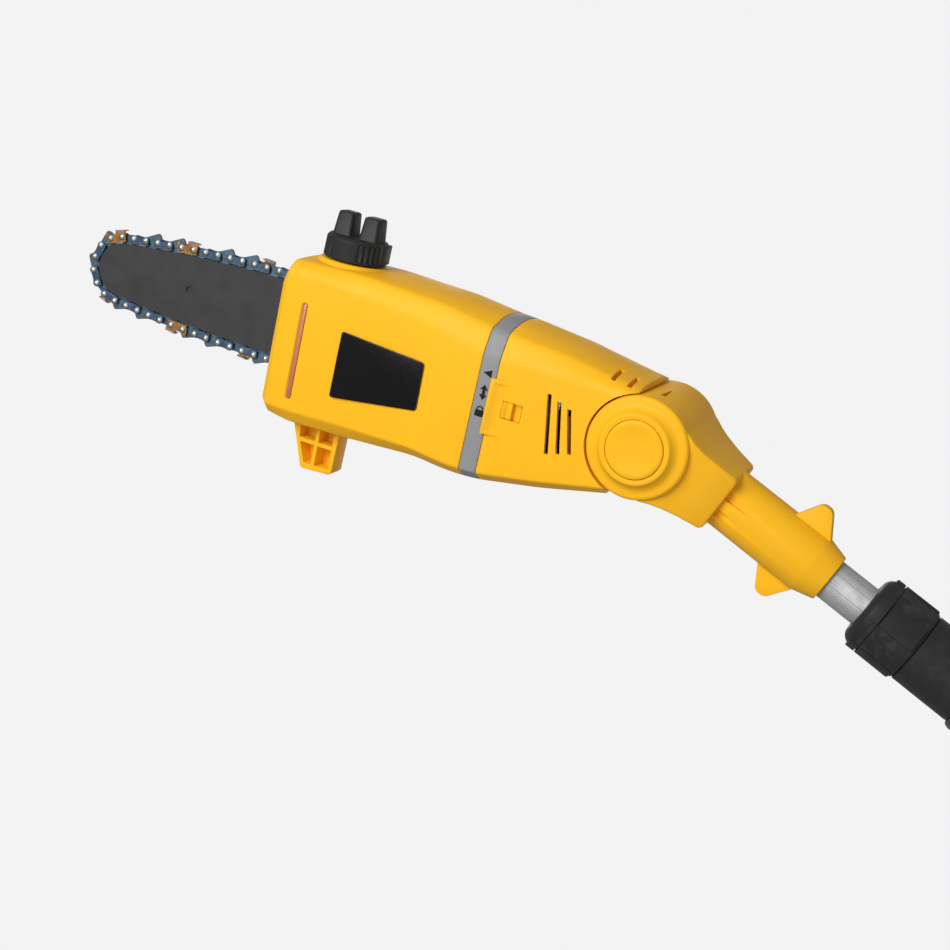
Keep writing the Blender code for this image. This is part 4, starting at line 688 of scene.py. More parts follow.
def build_head_case():
    rear = JOINT_FACE - GAP
    case = case_skin("head_case", FRONT, rear, rear_edge=0.0006, nose=0.0070, facet=0.0042)
    room = case_room(FRONT + WALL, rear - WALL - 0.0004)
    cut(room, brick((-1, COVER_REAR + GAP + WALL), (COVER_PLANE - 0.0025, 1), (-1, 1)))
    cut(room, brick((-0.1288, -0.1249), (-1, 1), (-1, 1)))
    cut(case, room)
    cut(case, brick((-1, COVER_REAR + GAP), (COVER_PLANE, 1), (-1, 1)))
    join(case, keep(cap_seat(), brick((-1, 1), (-1, COVER_PLANE), (-1, 1))))
    cut(case, peg(0.04, 0.07, 0.0115, "Z", (*CAP_PLACE, 0)))
    cut(case, peg(-0.135, rear - 0.004, 0.0112, "X"))
    bore = peg(rear - 0.006, rear + 0.002, 0.0306, "X", sides=64)
    for k in range(3):
        notch = brick((rear - 0.006, rear + 0.002), (-0.0092, 0.0092), (0, 0.0335))
        join(bore, turned_about(notch, radians(120 * k), "X"))
    cut(case, bore)
    cut(case, peg(0.005, 0.03, SHAFT_HOLE, "Y", (SPROCKET_U, 0, 0)))
    cut(case, peg(0.005, 0.03, STUD_HOLE, "Y", (STUD_U, 0, BAR_RISE)))
    cut(case, brick((-0.2175, -0.2065), (0.005, 0.03), (-0.0186, -0.0134)))
    cut(case, peg(FRONT - 0.01, FRONT + 0.01, 0.0031, "X", (0, 0.0055, -0.016)))
    # Oil window's slot with a chamfered lip, and the label's shallow seat
    cut(case, slab("slot", capsule(WINDOW_U, WINDOW_LOW, WINDOW_HIGH, 0.0016), -0.05, -0.03))
    lip = [capsule(WINDOW_U, WINDOW_LOW - grow, WINDOW_HIGH + grow, 0.0016 + grow) for grow in (0.0, 0.0011)]
    lip = [[(u, y, w) for u, w in loop] for loop, y in zip(lip, (-0.0370, -0.0384))]
    cut(case, wrapped("lip", lip))
    cut(case, slab("seat", label_outline(0.0004), -0.05, -0.03813))
    halves(case, "head_case", "yellow", HEAD, "saw_head", "head_shell")
    window = slab("window", capsule(WINDOW_U, WINDOW_LOW + GAP, WINDOW_HIGH - GAP, 0.0013), -0.0376, -0.0343)
    done(ease(window, 0.0003), "oil_level_strip", "window", HEAD, "saw_head", "oil_window")
    plate = slab("label", label_outline(), -0.0399, -0.0394)
    done(ease(plate, 0.0002, 2, 60), "side_label", "label", HEAD, "saw_head", "label_plate")


def build_cover():
    cover = case_skin("cover", FRONT, COVER_REAR - GAP, rear_edge=0.0004, nose=0.0070, facet=0.0042)
    keep(cover, brick((-1, 0), (COVER_PLANE + GAP, 1), (-1, 1)))
    room = case_room(FRONT + WALL, COVER_REAR - GAP - WALL)
    keep(room, brick((-1, 0), (0, 1), (-1, 1)))
    cut(room, peg(0.0213, 0.0370, 0.0115, "Y", (STUD_U, 0, BAR_RISE), 48))
    cut(cover, room)
    join(cover, keep(cap_seat(), brick((-1, 1), (COVER_PLANE + GAP, 1), (-1, 1))))
    cut(cover, brick((-0.30, FRONT + 0.02), (0, 0.0245), (-0.0370, 0.0390)))
    cut(cover, peg(0.031, 1, 0.0098, "Y", (STUD_U, 0, BAR_RISE), 48))
    cut(cover, peg(0, 1, STUD_HOLE, "Y", (STUD_U, 0, BAR_RISE), 24))
    for k in range(4):
        u = SPROCKET_U + 0.006 + 0.0055 * k
        cut(cover, slab("groove", capsule(u, -0.020 + 0.002 * k, 0.022 - 0.002 * k, 0.0010), 0.0376, 0.06))
    done(cover, "chain_cover", "yellow", HEAD, "saw_head", "sprocket_cover")
    nut = eased_copy("cover_nut", "nut", HEAD, 0.0005)
    done(nut, "bar_nut", "steel", HEAD, "saw_head", "cover_nut")


def build_branch_stop():
    outline = [
        (-0.2335, -0.045), (-0.2200, -0.0815), (-0.2185, -0.0830), (-0.1990, -0.0820), (-0.1972, -0.0800),
        (-0.1965, -0.045),
    ]
    foot = slab("foot", outline, -0.0185, -0.0035)
    middle, level, left, right, floor = -0.2115, -0.0645, -0.2262, -0.2000, -0.0790
    upper, lower = level + 0.0013, level - 0.0013
    pockets = [
        [(left, -0.040), (middle - 0.0013, -0.040), (middle - 0.0013, upper), (-0.2243, upper)],
        [(middle + 0.0013, -0.040), (right, -0.040), (right, upper), (middle + 0.0013, upper)],
        [(-0.2231, lower), (middle - 0.0013, lower), (middle - 0.0013, floor), (-0.2180, floor)],
        [(middle + 0.0013, lower), (right, lower), (right, floor), (middle + 0.0013, floor)],
    ]
    for pocket in pockets:
        cut(foot, slab("pocket", pocket, -0.03, -0.0070))
    stations = (-0.25, -0.24, -0.229, -0.215, -0.2, -0.192, -0.17)
    cut(foot, wrapped("under", [case_loop(u, -0.0003) for u in stations]))
    ease(foot, 0.0006, 2, 35)
    done(foot, "branch_foot", "yellow", HEAD, "saw_head", "branch_stop")


def build_oil_cap():
    """A cap with four plain panels and four grooved grip zones, and two square lugs to turn it by."""
    grooves = bpy.context.scene.pole_saw_sizes.flutes
    base, rim, radius = CAP_BASE + 0.0012, CAP_BASE + CAP_HEIGHT, CAP_RADIUS

    def wobble(angle, along):
        place = (degrees(angle) % 90) - 45
        if abs(place) > 21 or not base + 0.0015 < along < rim - 0.0022:
            return 0.0
        return -0.0011 * (0.5 - 0.5 * cos(2 * pi * (place + 21) / 42 * grooves)) ** 0.7

    profile = [
        (base, 0.0150), (base, radius - 0.0004), (base + 0.0004, radius), (base + 0.0014, radius),
        (base + 0.0017, radius), (rim - 0.0025, radius - 0.0003), (rim - 0.0020, radius - 0.0003),
        (rim - 0.0017, radius - 0.0004), (rim - 0.0002, radius - 0.0017), (rim, radius - 0.0020),
        (rim + 0.0002, 0.0080),
    ]
    cap = turned("cap", profile, "Z", (*CAP_PLACE, 0), 240, wobble)
    for side in (-1, 1):
        loops = []
        for rise, scale in (
            (-0.0040, 1.04),
            (0.0002, 1.02),
            (0.0010, 0.97),
            (0.0128, 0.84),
            (0.0136, 0.82),
            (0.0142, 0.77),
            (0.0146, 0.69),
        ):
            half_x, half_y = 0.0066 * scale, 0.0080 * scale
            corners = [(-half_x, -half_y), (half_x, -half_y), (half_x, half_y), (-half_x, half_y)]
            middle = (CAP_PLACE[0] + side * 0.0092, CAP_PLACE[1])
            loops.append([(middle[0] + x, middle[1] + y, rim + rise) for x, y in rounded(corners, 0.0022, 4)])
        join(cap, wrapped("lug", loops))
    panel = [
        (radius - 0.003, -0.0072), (radius + 0.0006, -0.0064), (radius + 0.0006, 0.0064),
        (radius - 0.003, 0.0072),
    ]
    panel = slab(
        "panel", [(CAP_PLACE[0] + x, CAP_PLACE[1] + y) for x, y in panel], base + 0.0016, rim - 0.0004, "Z"
    )
    join(cap, ease(panel, 0.0005, 2, 50))
    cut(cap, peg(base - 0.001, CAP_BASE + 0.0065, 0.0118, "Z", (*CAP_PLACE, 0), 48))
    done(cap, "fluted_oil_cap", "black", HEAD, "oil_cap", "oil_cap", angle=35)


# ---------------------------------------------------------------- bar and chain


BAR_ROOT, BAR_TIP, NOSE_RADIUS, BAR_SWELL = -0.280, -0.4172, 0.0183, 0.0075
PEG_HOLE, OILER = 0.0023, 0.0027
PLATE_INSIDE, PLATE_OUTSIDE = 0.0019, 0.0031
# The rivets are counted from one at a known place, and the listed cutters lie on the near side
CHAIN_START, CHAIN_START_RIVET = (-0.4108, 0.0187), 13
NEAR_CUTTERS = (1, 2, 4, 6, 8, 10)


def bar_half(u):
    """Half the bar's height, which narrows from its root to its round nose."""
    nose = BAR_TIP + NOSE_RADIUS
    s = min(1.0, max(0.0, (BAR_ROOT - u) / (BAR_ROOT - nose)))
    return NOSE_RADIUS + BAR_SWELL * (1 - s**1.8)


def bar_outline(grow=0.0, tail=-0.178):
    nose = BAR_TIP + NOSE_RADIUS
    top = [(u, bar_half(u) + grow) for u in np.linspace(-0.190, nose + 0.002, 30)]
    points = top + arc((nose, 0), NOSE_RADIUS + grow, 90, 270, 28)[1:-1] + [(u, -w) for u, w in reversed(top)]
    if tail:
        points += [(tail, -0.018), (tail, 0.018)]
    return [(u, w + BAR_RISE) for u, w in points]


def build_bar():
    """Three layers: the outer two stand over the middle one and make the chain's groove."""
    layers = []
    for low, high, grow in ((-0.0020, -0.0007, 0.0), (-0.00075, 0.00075, -0.0048), (0.0007, 0.0020, 0.0)):
        layers.append(slab("layer", bar_outline(grow), BAR_MIDDLE + low, BAR_MIDDLE + high))
    bar = join(layers[0], layers[1], layers[2])
    slot = arc((STUD_U - 0.004, BAR_RISE), STUD_HOLE, 90, 270, 8)
    slot += arc((STUD_U + 0.008, BAR_RISE), STUD_HOLE, -90, 90, 8)
    cut(bar, slab("slot", slot, 0, 0.04))
    cut(bar, peg(0, 0.04, PEG_HOLE, "Y", (-0.212, 0, -0.016)))
    for side in (-1, 1):
        low, high = sorted((BAR_MIDDLE + side * 0.0002, BAR_MIDDLE + side * 0.003))
        cut(bar, peg(low, high, OILER, "Y", (-0.3435, 0, BAR_RISE)))
    ease(bar, 0.00025, 2, 50)
    done(bar, "guide_bar_plates", "bar", HEAD, "bar_set", "guide_bar", angle=12)
    bar.data.materials.append(finish("worn_steel"))
    back = HEAD.inverted().to_3x3()
    for face in bar.data.polygons:
        if abs((back @ face.normal).y) < 0.55:
            face.material_index = 1


def chain_line(grow):
    """The places of the rivets, evenly spaced from the case's top round the nose and back."""
    tail = arc((SPROCKET_U, 0), 0.0198 + grow, -86, 86, 30)
    loop = [Vector(p) for p in bar_outline(GAP + grow, None) + [(u, w + BAR_RISE) for u, w in tail]]
    lengths = np.cumsum([0.0] + [(b - a).length for a, b in zip(loop, loop[1:] + loop[:1])])
    pitch = bpy.context.scene.pole_saw_sizes.pitch
    count = 2 * round(lengths[-1] / pitch / 2)
    ends = np.array([tuple(p) for p in loop + loop[:1]])
    nearest = min(range(len(loop)), key=lambda i: (loop[i] - Vector(CHAIN_START)).length)
    along = (lengths[nearest] + (np.arange(count) - CHAIN_START_RIVET) * lengths[-1] / count) % lengths[-1]
    return [Vector((np.interp(s, lengths, ends[:, 0]), np.interp(s, lengths, ends[:, 1]))) for s in along]


def link_plate(name, first, last, shape, low, high):
    """A flat link between two rivets. shape gives points in rivet-to-rivet axes, outwards being positive."""
    along = (last - first).normalized()
    out = Vector((along.y, -along.x))
    middle = (first + last) / 2
    points = [middle + along * a + out * b for a, b in shape]
    return slab(name, [tuple(p) for p in points], BAR_MIDDLE + low, BAR_MIDDLE + high)


def build_chain():
    """Rivets, drive links, straps and cutters, each link in its own place round the bar."""
    sizes = bpy.context.scene.pole_saw_sizes
    places = chain_line(0.0041)
    count = len(places)
    half = sizes.pitch / 2
    end, foot = 0.0025, -0.0036
    strap = [(half + 0.0021, foot)] + arc((half, 0), end, -20, 80, 5) + [(0.0012, 0.0019), (-0.0012, 0.0019)]
    strap += arc((-half, 0), end, 100, 200, 5) + [(-half - 0.0021, foot)]
    driver = [(0.0032, -0.0044), (half + 0.0018, -0.0041)] + arc((half, 0), 0.0024, -20, 70, 4)
    driver += [(0, 0.0021)] + arc((-half, 0), 0.0024, 110, 200, 4) + [
        (-half - 0.0018, -0.0041), (-0.0030, -0.0044)
    ]
    driver += [(-0.0012, -0.0070), (0.0006, -0.0074)]
    fin = [
        (half + 0.0020, -0.0010), (half + 0.0018, 0.0014), (half - 0.0008, 0.0030), (-0.0010, 0.0050),
        (-half + 0.0012, 0.0060), (-half - 0.0002, 0.0057), (-half - 0.0014, 0.0040),
        (-half - 0.0022, 0.0010), (-half - 0.0020, -0.0020),
    ]
    cutter = [
        (half + 0.0026, foot), (half + 0.0033, 0.0002), (half + 0.0034, 0.0034), (half + 0.0028, 0.0044),
        (half + 0.0012, 0.0038), (half - 0.0004, 0.0026), (0.0014, 0.0022), (0.0002, 0.0027),
        (-0.0006, 0.0046), (-half - 0.0032, 0.0040), (-half - 0.0034, 0.0032), (-half - 0.0030, 0.0006),
        (-half - 0.0026, foot),
    ]
    top = [(-0.0002, 0.0042), (-0.0003, 0.0052), (-half - 0.0034, 0.0045), (-half - 0.0034, 0.0036)]
    groups = {"chain_blue": [], "chain_bronze": [], "rivet": [], "drive": [], "top": []}
    for k in range(0, count, 2):
        first, last = places[k], places[k + 1]
        link = k // 2
        near_side = link // 3 in NEAR_CUTTERS
        for side in (-1, 1):
            is_cutter = link % 3 == 0 and (side == -1) == near_side
            low, high = sorted((side * PLATE_INSIDE, side * PLATE_OUTSIDE))
            look = "chain_bronze" if is_cutter else "chain_blue"
            groups[look].append(link_plate("link", first, last, cutter if is_cutter else strap, low, high))
            if is_cutter:
                low, high = sorted((side * 0.0032, -side * 0.0016))
                groups["top"].append(link_plate("top", first, last, top, low, high))
        after = places[(k + 2) % count]
        groups["drive"].append(link_plate("drive", last, after, driver, -0.00055, 0.00055))
        if link % 3 != 2:
            groups["drive"].append(link_plate("fin", last, after, fin, -0.0009, 0.0009))
    for links in groups.values():
        for link in links:
            ease(link, 0.0002, 1, 40)
    for place in places:
        for side in (-1, 1):
            # Painted shade: a slate ring round each rivet head, put where there is only shade round the rivet
            # heads.
            collar = [
                (BAR_MIDDLE + side * y, r) for y, r in ((0.0021, 0.0024), (0.0033, 0.0024), (0.00345, 0.0021))
            ]
            groups["drive"].append(turned("collar", collar, "Y", (place.x, 0, place.y), 14))
            head = [
                (0.0019, sizes.rivet * 0.9), (0.0036, sizes.rivet), (0.0038, sizes.rivet * 0.86),
                (0.0041, sizes.rivet * 0.55), (0.00425, sizes.rivet * 0.15),
            ]
            profile = [(BAR_MIDDLE + side * y, r) for y, r in head]
            groups["rivet"].append(turned("rivet", profile, "Y", (place.x, 0, place.y), 12))
    finished = {
        "chain_blue": ("chain_straps", "chain_blue"),
        "chain_bronze": ("chain_cutters", "chain_bronze"),
        "rivet": ("chain_rivets", "rivet"),
        "drive": ("drive_links_and_painted_shade_rings", "chain_slate"),
        "top": ("cutter_plates", "worn_steel"),
    }
    for key, links in groups.items():
        select_only(*links)
        bpy.ops.object.join()
        nodes = ["saw_chain"] if key == "chain_blue" else []
        name, look = finished[key]
        piece = done(links[0], name, look, HEAD, "bar_set", *nodes, angle=40)


# ---------------------------------------------------------------- motor unit pieces


def build_ring():
    ring = case_skin("ring", JOINT_FACE, RING_REAR, front_edge=0.0004, rear_edge=0.0004)
    cut(ring, case_room(JOINT_FACE - 0.002, RING_REAR + 0.002, 0.003))
    done(ring, "position_ring", "grey", HEAD, "motor_unit", "marking_ring")
    # Printed signs: a pointer, an arrow both ways and a closed padlock
    u, face = -0.0997, -0.0396
    pointer = [(-0.1026, 0.0180), (-0.0970, 0.0204), (-0.0970, 0.0156)]
    both = [
        (u, 0.0108), (u + 0.0026, 0.0074), (u + 0.0010, 0.0074), (u + 0.0010, 0.0044), (u + 0.0026, 0.0044),
        (u, 0.0010), (u - 0.0026, 0.0044), (u - 0.0010, 0.0044), (u - 0.0010, 0.0074), (u - 0.0026, 0.0074),
    ]
    lock = rounded(
        [(u - 0.0028, -0.0094), (u + 0.0028, -0.0094), (u + 0.0028, -0.0052), (u - 0.0028, -0.0052)],
        0.0005,
        2,
    )
    bow = arc((u, -0.0050), 0.0023, 0, 180, 8) + arc((u, -0.0050), 0.0014, 180, 0, 8)
    signs = [slab("sign", outline, face, face + 0.0003) for outline in (pointer, both, lock, bow)]
    select_only(*signs)
    bpy.ops.object.join()
    done(signs[0], "ring_signs", "mark", HEAD, "motor_unit")


def build_motor_case():
    front = RING_REAR + GAP
    case = case_skin("motor_case", front, REAR, front_edge=0.0005, rear_edge=0.0010)
    room = case_room(front - 0.01, -0.0365)
    cut(room, brick((-0.0451, -0.0422), (-1, 1), (-1, 1)))
    cut(case, room)
    cut(case, peg(front, -0.0375, 0.0103, "X"))
    cut(case, peg(-1, 1, 0.0323, "Y", sides=128))
    cut(case, brick((-0.0135, 1), (-1, 1), (-1, 0)))
    for k in range(3):
        u = -0.0590 + 0.0070 * k
        top, low = 0.0165 - 0.0028 * k, -0.0196 + 0.0020 * k
        slot = [(u - 0.0013, top), (u + 0.0013, top), (u + 0.0075, low), (u + 0.0049, low)]
        cut(case, slab("vent", rounded(slot, 0.0004, 2), -0.05, 0.05))
    for u in (-0.0250, -0.0145):
        cut(case, brick((u - 0.0014, u + 0.0014), (-0.0332, -0.0150), (0.0305, 0.06)))
    root, proud, over = -0.0385, -0.0418, -0.0399
    edge = RING_REAR
    bar = [
        (edge + 0.0004, root), (edge + 0.0004, over), (edge - 0.0020, over), (edge - 0.0020, proud),
        (edge - 0.0004, proud), (edge + 0.0062, root),
    ]
    join(case, ease(slab("guard", bar, -0.0186, 0.0162, "Z"), 0.0003, 2, 50))
    for w in (0.0136, -0.0186):
        rib = [(edge + 0.0010, root), (edge + 0.0006, proud + 0.0004), (edge + 0.0150, root)]
        join(case, ease(slab("rib", rib, w, w + 0.0026, "Z"), 0.0004, 2, 60))
    cut(case, brick((-0.0864, -0.0734), (-0.05, -0.0345), (-0.0064, 0.0046)))
    cut(case, brick((-0.05, -0.02), (-0.0118, 0.0118), (-0.0108, 0.0108)))
    halves(case, "motor_case", "yellow", HEAD, "motor_unit", "motor_shell")
    # The finger's face is hollowed for a thumb and stands over the plate that slides inside
    front, rear, low, high = -0.0860, -0.0794, -0.0060, 0.0042
    face = [
        (front, -0.0396), (front + 0.0003, -0.0401), (front + 0.0010, -0.0402), (front + 0.0020, -0.0396),
        (front + 0.0032, -0.0386), (front + 0.0046, -0.0388), (rear - 0.0006, -0.0400),
        (rear - 0.0002, -0.0401), (rear, -0.0396), (rear, -0.0360), (front, -0.0360),
    ]
    tab = slab("tab", face, low, high, "Z")
    tab = join(ease(tab, 0.0002, 1, 50), brick((-0.0901, -0.0746), (-0.0362, -0.0347), (-0.0094, 0.0076)))
    done(tab, "latch_tab", "yellow", HEAD, "latch", "latch_slider")


# ---------------------------------------------------------------- neck pieces


DRUM_RADIUS, DRUM_HALF = 0.0315, 0.0385
BUTTON_FACE = -0.0445
SCREW_SHANK, SCREW_HEAD = 0.0017, 0.0035


def build_neck():
    """The drum with its flared block, sleeve, two wings and the seat round the button."""
    radius, half = DRUM_RADIUS, DRUM_HALF
    soft = 0.0026
    turns = np.linspace(0, pi / 2, 7)
    rim = [(-half + soft - soft * sin(a), radius - soft + soft * cos(a)) for a in turns]
    profile = [(-half, 0.012)] + rim[::-1] + [(-y, r) for y, r in rim] + [(half, 0.012)]
    neck = turned("neck", profile, "Y", sides=128)
    loops = []
    stations = [
        (0.004, 0.0365, 0.0300), (0.020, 0.0362, 0.0256), (0.026, 0.0350, 0.0232), (0.032, 0.0332, 0.0216),
        (0.042, 0.0296, 0.0202), (0.0557, 0.0250, 0.0191), (0.0573, 0.0238, 0.0178), (0.0575, 0.0232, 0.0172),
    ]
    for x, wide, high in stations:
        corners = [(-wide, -high), (wide, -high), (wide, high), (-wide, high)]
        loops.append([(x, y, z) for y, z in rounded(corners, 0.0018, 4)])
    join(neck, wrapped("block", loops))
    profile = [(0.030, 0.0193), (0.1195, 0.0193), (0.1208, 0.0190), (0.1335, 0.0156), (0.1340, 0.0150)]
    join(neck, turned("sleeve", profile, "X", sides=96))
    for side in (-1, 1):
        corners = [(0.0900, 0.010), (0.1040, 0.0340), (0.1110, 0.0340), (0.1205, 0.0195), (0.1205, 0.010)]
        wing = rounded([(x, side * z) for x, z in corners], [0, 0.0030, 0.0030, 0, 0], 5)
        join(neck, ease(slab("wing", wing, -0.0035, 0.0035), 0.0006, 2, 50))
    profile = [
        (-0.0370, 0.0150), (-0.0370, 0.0268), (-0.0384, 0.0264), (-0.0389, 0.0252), (-0.0399, 0.0238),
        (-0.0413, 0.0226), (-0.0428, 0.0218), (-0.0434, 0.0214), (-0.0437, 0.0208), (-0.0437, 0.0196),
        (-0.0434, 0.0188), (-0.0434, 0.0150),
    ]
    join(neck, tube("collar", profile, "Y", sides=96))
    cut(neck, peg(-0.06, -0.034, 0.0181, "Y", sides=96))
    room = peg(-0.0355, 0.0355, 0.0285, "Y", sides=64)
    join(room, brick((0.0, 0.070), (-0.010, 0.010), (-0.0105, 0.0105)))
    cut(neck, room)
    cut(neck, peg(0.0675, 0.2, 0.0133, "X", sides=64))
    swing = [(0, 0)] + arc((0, 0), 0.05, 153, 262, 16)
    cut(neck, slab("swing", swing, -0.0123, 0.0123))
    for low in (-0.03, 0.0172):
        side = 1 if low > 0 else -1
        for z in (-0.0058, 0.0058):
            loops = []
            for x, deep, wide in (
                (0.0578, 0.0158, 0.0040), (0.0700, 0.0174, 0.0028), (0.0850, 0.0196, 0.0006)
            ):
                corners = [(deep, wide * 0.6), (0.03, wide), (0.03, -wide), (deep, -wide * 0.6)]
                loops.append([(x, side * y, z + w) for y, w in corners])
            cut(neck, wrapped("groove", loops))
    slot = slab(
        "slot", [(-0.0014, -0.0205), (0.0014, -0.0205), (0.0005, 0.0010), (-0.0005, 0.0010)], 0.024, 0.05, "Z"
    )
    cut(neck, turned_about(slot, radians(-15.5), "Y"))
    cut(neck, peg(0.0185, 1, 0.0039, "Y", (0.048, 0, 0.0145), 24))
    halves(neck, "neck", "yellow", POLE, "inner_pole", "neck_shell")


def build_button():
    """The round release button, with a dished face inside its rim."""
    face = BUTTON_FACE
    profile = [
        (face + 0.0012, 0.0020), (face + 0.0010, 0.0080), (face + 0.0004, 0.0132), (face, 0.0150),
        (face + 0.0001, 0.0164), (face + 0.0006, 0.0174), (face + 0.0014, 0.0178), (face + 0.0105, 0.0178),
        (face + 0.0105, 0.0075), (-0.0172, 0.0075),
    ]
    button = turned("button", profile, "Y", sides=96)
    done(button, "release_button", "yellow", POLE, "tilt_button", "tilt_button")


# ---------------------------------------------------------------- pole, lock and grips


def build_tubes():
    """Drawn tubes: the inner one is finely ribbed, with a plain strip along two sides."""
    low, high = box_in("inner_tube", POLE)
    loops = []
    for x in (low.x, low.x + 0.0004, high.x - 0.0004, high.x):
        loop = []
        for k in range(240):
            angle = 2 * pi * k / 240
            plain = abs(sin(angle + 0.35)) < 0.30
            rib = 0.00016 if k % 4 < 2 and not plain else 0.0
            edge = 0.0003 if x in (low.x, high.x) else 0.0
            radius = 0.01292 - rib - edge
            loop.append((x, radius * cos(angle), radius * sin(angle)))
        loops.append(loop)
    inner = cut(wrapped("inner", loops), peg(low.x - 0.01, high.x + 0.01, 0.0115, "X", sides=64))
    done(inner, "ribbed_inner_tube", "aluminium", POLE, "inner_pole", "inner_tube", angle=50)
    coat("aluminium", "outer_tube")


def build_lock():
    start, end, radius, bore, room = 0.160, 0.1965, 0.0236, 0.0138, 0.0194
    dome, lip = 0.0085, 0.0166
    turns = np.linspace(0, pi / 2, 10)
    bulge = [(start + dome - dome * cos(a), lip + (radius - lip) * sin(a)) for a in turns]
    profile = [
        (start + 0.0001, bore), (start, bore + 0.0004), *bulge, (end - 0.0030, radius),
        (end - 0.0012, radius - 0.0002), (end - 0.0004, radius - 0.0006), (end, radius - 0.0014), (end, room),
        (start + 0.0055, room), (start + 0.0035, bore),
    ]
    collar = tube("collar", profile, "X", sides=96)
    for k in range(4):
        sweep = arc((0, 0), radius + 0.0012, 134, 174, 12)
        outline = sweep + arc((0, 0), radius - 0.0016, 174, 134, 12)
        pad = slab("pad", outline, start + 0.0048, end - 0.0016, "X")
        ease(pad, 0.0008, 3, 50)
        join(collar, turned_about(pad, radians(90 * k), "X"))
    ring = [
        (start + 0.0103, radius + 0.003), (start + 0.0106, radius - 0.0006),
        (start + 0.0114, radius - 0.0006),
    ]
    cut(collar, tube("ring", ring + [(start + 0.0117, radius + 0.003)], "X", sides=96))
    done(collar, "twist_collar", "black", POLE, "lock_collar", "lock_collar", angle=40)

    inner, thread, sleeve, hub_end = 0.0158, 0.0190, 0.0228, 0.236
    profile = [(0.1830, inner), (0.1830, thread - 0.0006), (0.1836, thread)]
    for k in range(4):
        x = 0.1850 + 0.0028 * k
        profile += [
            (x, thread), (x + 0.0006, thread - 0.0007), (x + 0.0012, thread - 0.0007), (x + 0.0018, thread),
        ]
    profile += [
        (end + GAP, thread), (end + GAP, sleeve - 0.0008), (end + 0.0011, sleeve), (hub_end - 0.0008, sleeve),
    ]
    profile += [(hub_end, sleeve - 0.0006), (hub_end, inner)]
    done(tube("hub", profile, "X", sides=96), "lock_sleeve", "black", POLE, "outer_pole", "lock_hub")

    low, high = box_in("foam_grip", POLE)
    outer = (high.z - low.z) / 2
    profile = [
        (low.x, 0.0158), (low.x, outer - 0.0030), (low.x + 0.0012, outer - 0.0008), (low.x + 0.0035, outer),
    ]
    for x in np.arange(low.x + 0.02, high.x - 0.02, 0.02):
        profile += [(x, outer - 0.0001 - 0.0002 * sin(60 * x))]
    profile += [
        (high.x - 0.0035, outer), (high.x - 0.0012, outer - 0.0008), (high.x, outer - 0.0030),
        (high.x, 0.0158),
    ]
    done(tube("foam", profile, "X", sides=96), "foam_sleeve", "foam", POLE, "outer_pole", "foam_grip")
    coat("grey", "lock_collet")


def build_handle():
    start, socket, rear, half, top, bottom = 1.045, 1.112, 1.385, 0.019, 0.021, -0.078
    loop_start, loop_end, loop_top, loop_low = 1.138, 1.318, -0.0175, -0.064
    outer = [(start, -0.020), (socket, -0.0215), (loop_start - 0.020, bottom + 0.022)]
    outer += arc((loop_start - 0.004, bottom + 0.014), 0.014, 200, 270, 8)
    outer += arc((rear - 0.016, bottom + 0.016), 0.016, 270, 345, 8)
    outer += arc((rear - 0.022, top - 0.018), 0.018, 10, 90, 9)
    outer += [(socket + 0.02, top + 0.0005), (socket, top + 0.0015), (start, top - 0.0005)]
    opening = rounded(
        [(loop_start, loop_top), (loop_end, loop_top), (loop_end, loop_low), (loop_start, loop_low)], 0.014, 8
    )
    body = slab("body", outer, -half, half)
    cut(body, slab("loop", opening, -0.05, 0.05))
    ease(body, 0.0060, 5, 60)
    grip = [
        (start - 0.004, 0.0150), (start - 0.004, 0.0222), (start - 0.0028, 0.0235), (socket, 0.0235),
        (socket + 0.006, 0.0215), (socket + 0.006, 0.0150),
    ]
    join(body, turned("socket", grip, "X", sides=64))
    # Shallow slanted grooves on each side of the grip, with ribs left between them
    for side in (-1, 1):
        low, high = sorted((side * (half - 0.0004), side * (half + 0.002)))
        for k in range(9):
            x = 1.205 + 0.0095 * k
            groove = rounded(
                [(x, -0.009), (x + 0.003, -0.009), (x + 0.009, 0.012), (x + 0.006, 0.012)], 0.0008, 2
            )
            cut(body, slab("groove", groove, low, high))
    tube_end = box_in("outer_tube", POLE)[1].x
    cut(body, peg(0.9, tube_end + 0.001, 0.0158, "X", sides=64))
    room = [(socket + 0.01, -0.012), (rear - 0.0085, -0.012), (rear - 0.0095, 0.003), (rear - 0.022, 0.0150)]
    cut(body, slab("hollow", room + [(socket + 0.01, 0.0150)], -0.0150, 0.0150))
    cut(body, brick((rear - 0.040, rear - 0.0085), (-0.0150, 0.0150), (-0.060, 0.0)))
    cut(body, brick((1.131, 1.184), (-0.0065, 0.0065), (-0.030, -0.009)))
    cut(body, brick((1.192 - 0.0093, 1.192 + 0.0093), (-0.0053, 0.0053), (0.010, 0.03)))
    cut(body, brick((rear - 0.020, rear + 0.01), (-0.0133, 0.0133), (-0.045, -0.013)))
    for x, z in ((1.122, 0.0085), (1.300, 0.0085), (1.240, -0.0710)):
        cut(body, peg(half - 0.003, 1, 0.0039, "Y", (x, 0, z), 24))
        cut(body, peg(-0.0145, 1, 0.0020, "Y", (x, 0, z), 16))
    halves(body, "handle", "soft_black", POLE, "outer_pole", "handle_shell")
    for node, name, look, body_name, width in (
        ("trigger", "trigger_blade", "black", "trigger", 0.0012),
        ("lock_off_button", "safety_button", "black", "lock_off_button", 0.0012),
        ("power_inlet", "inlet_socket", "black", "outer_pole", 0.0006),
    ):
        done(eased_copy(node, name, POLE, width, 3), name, look, POLE, body_name, node)


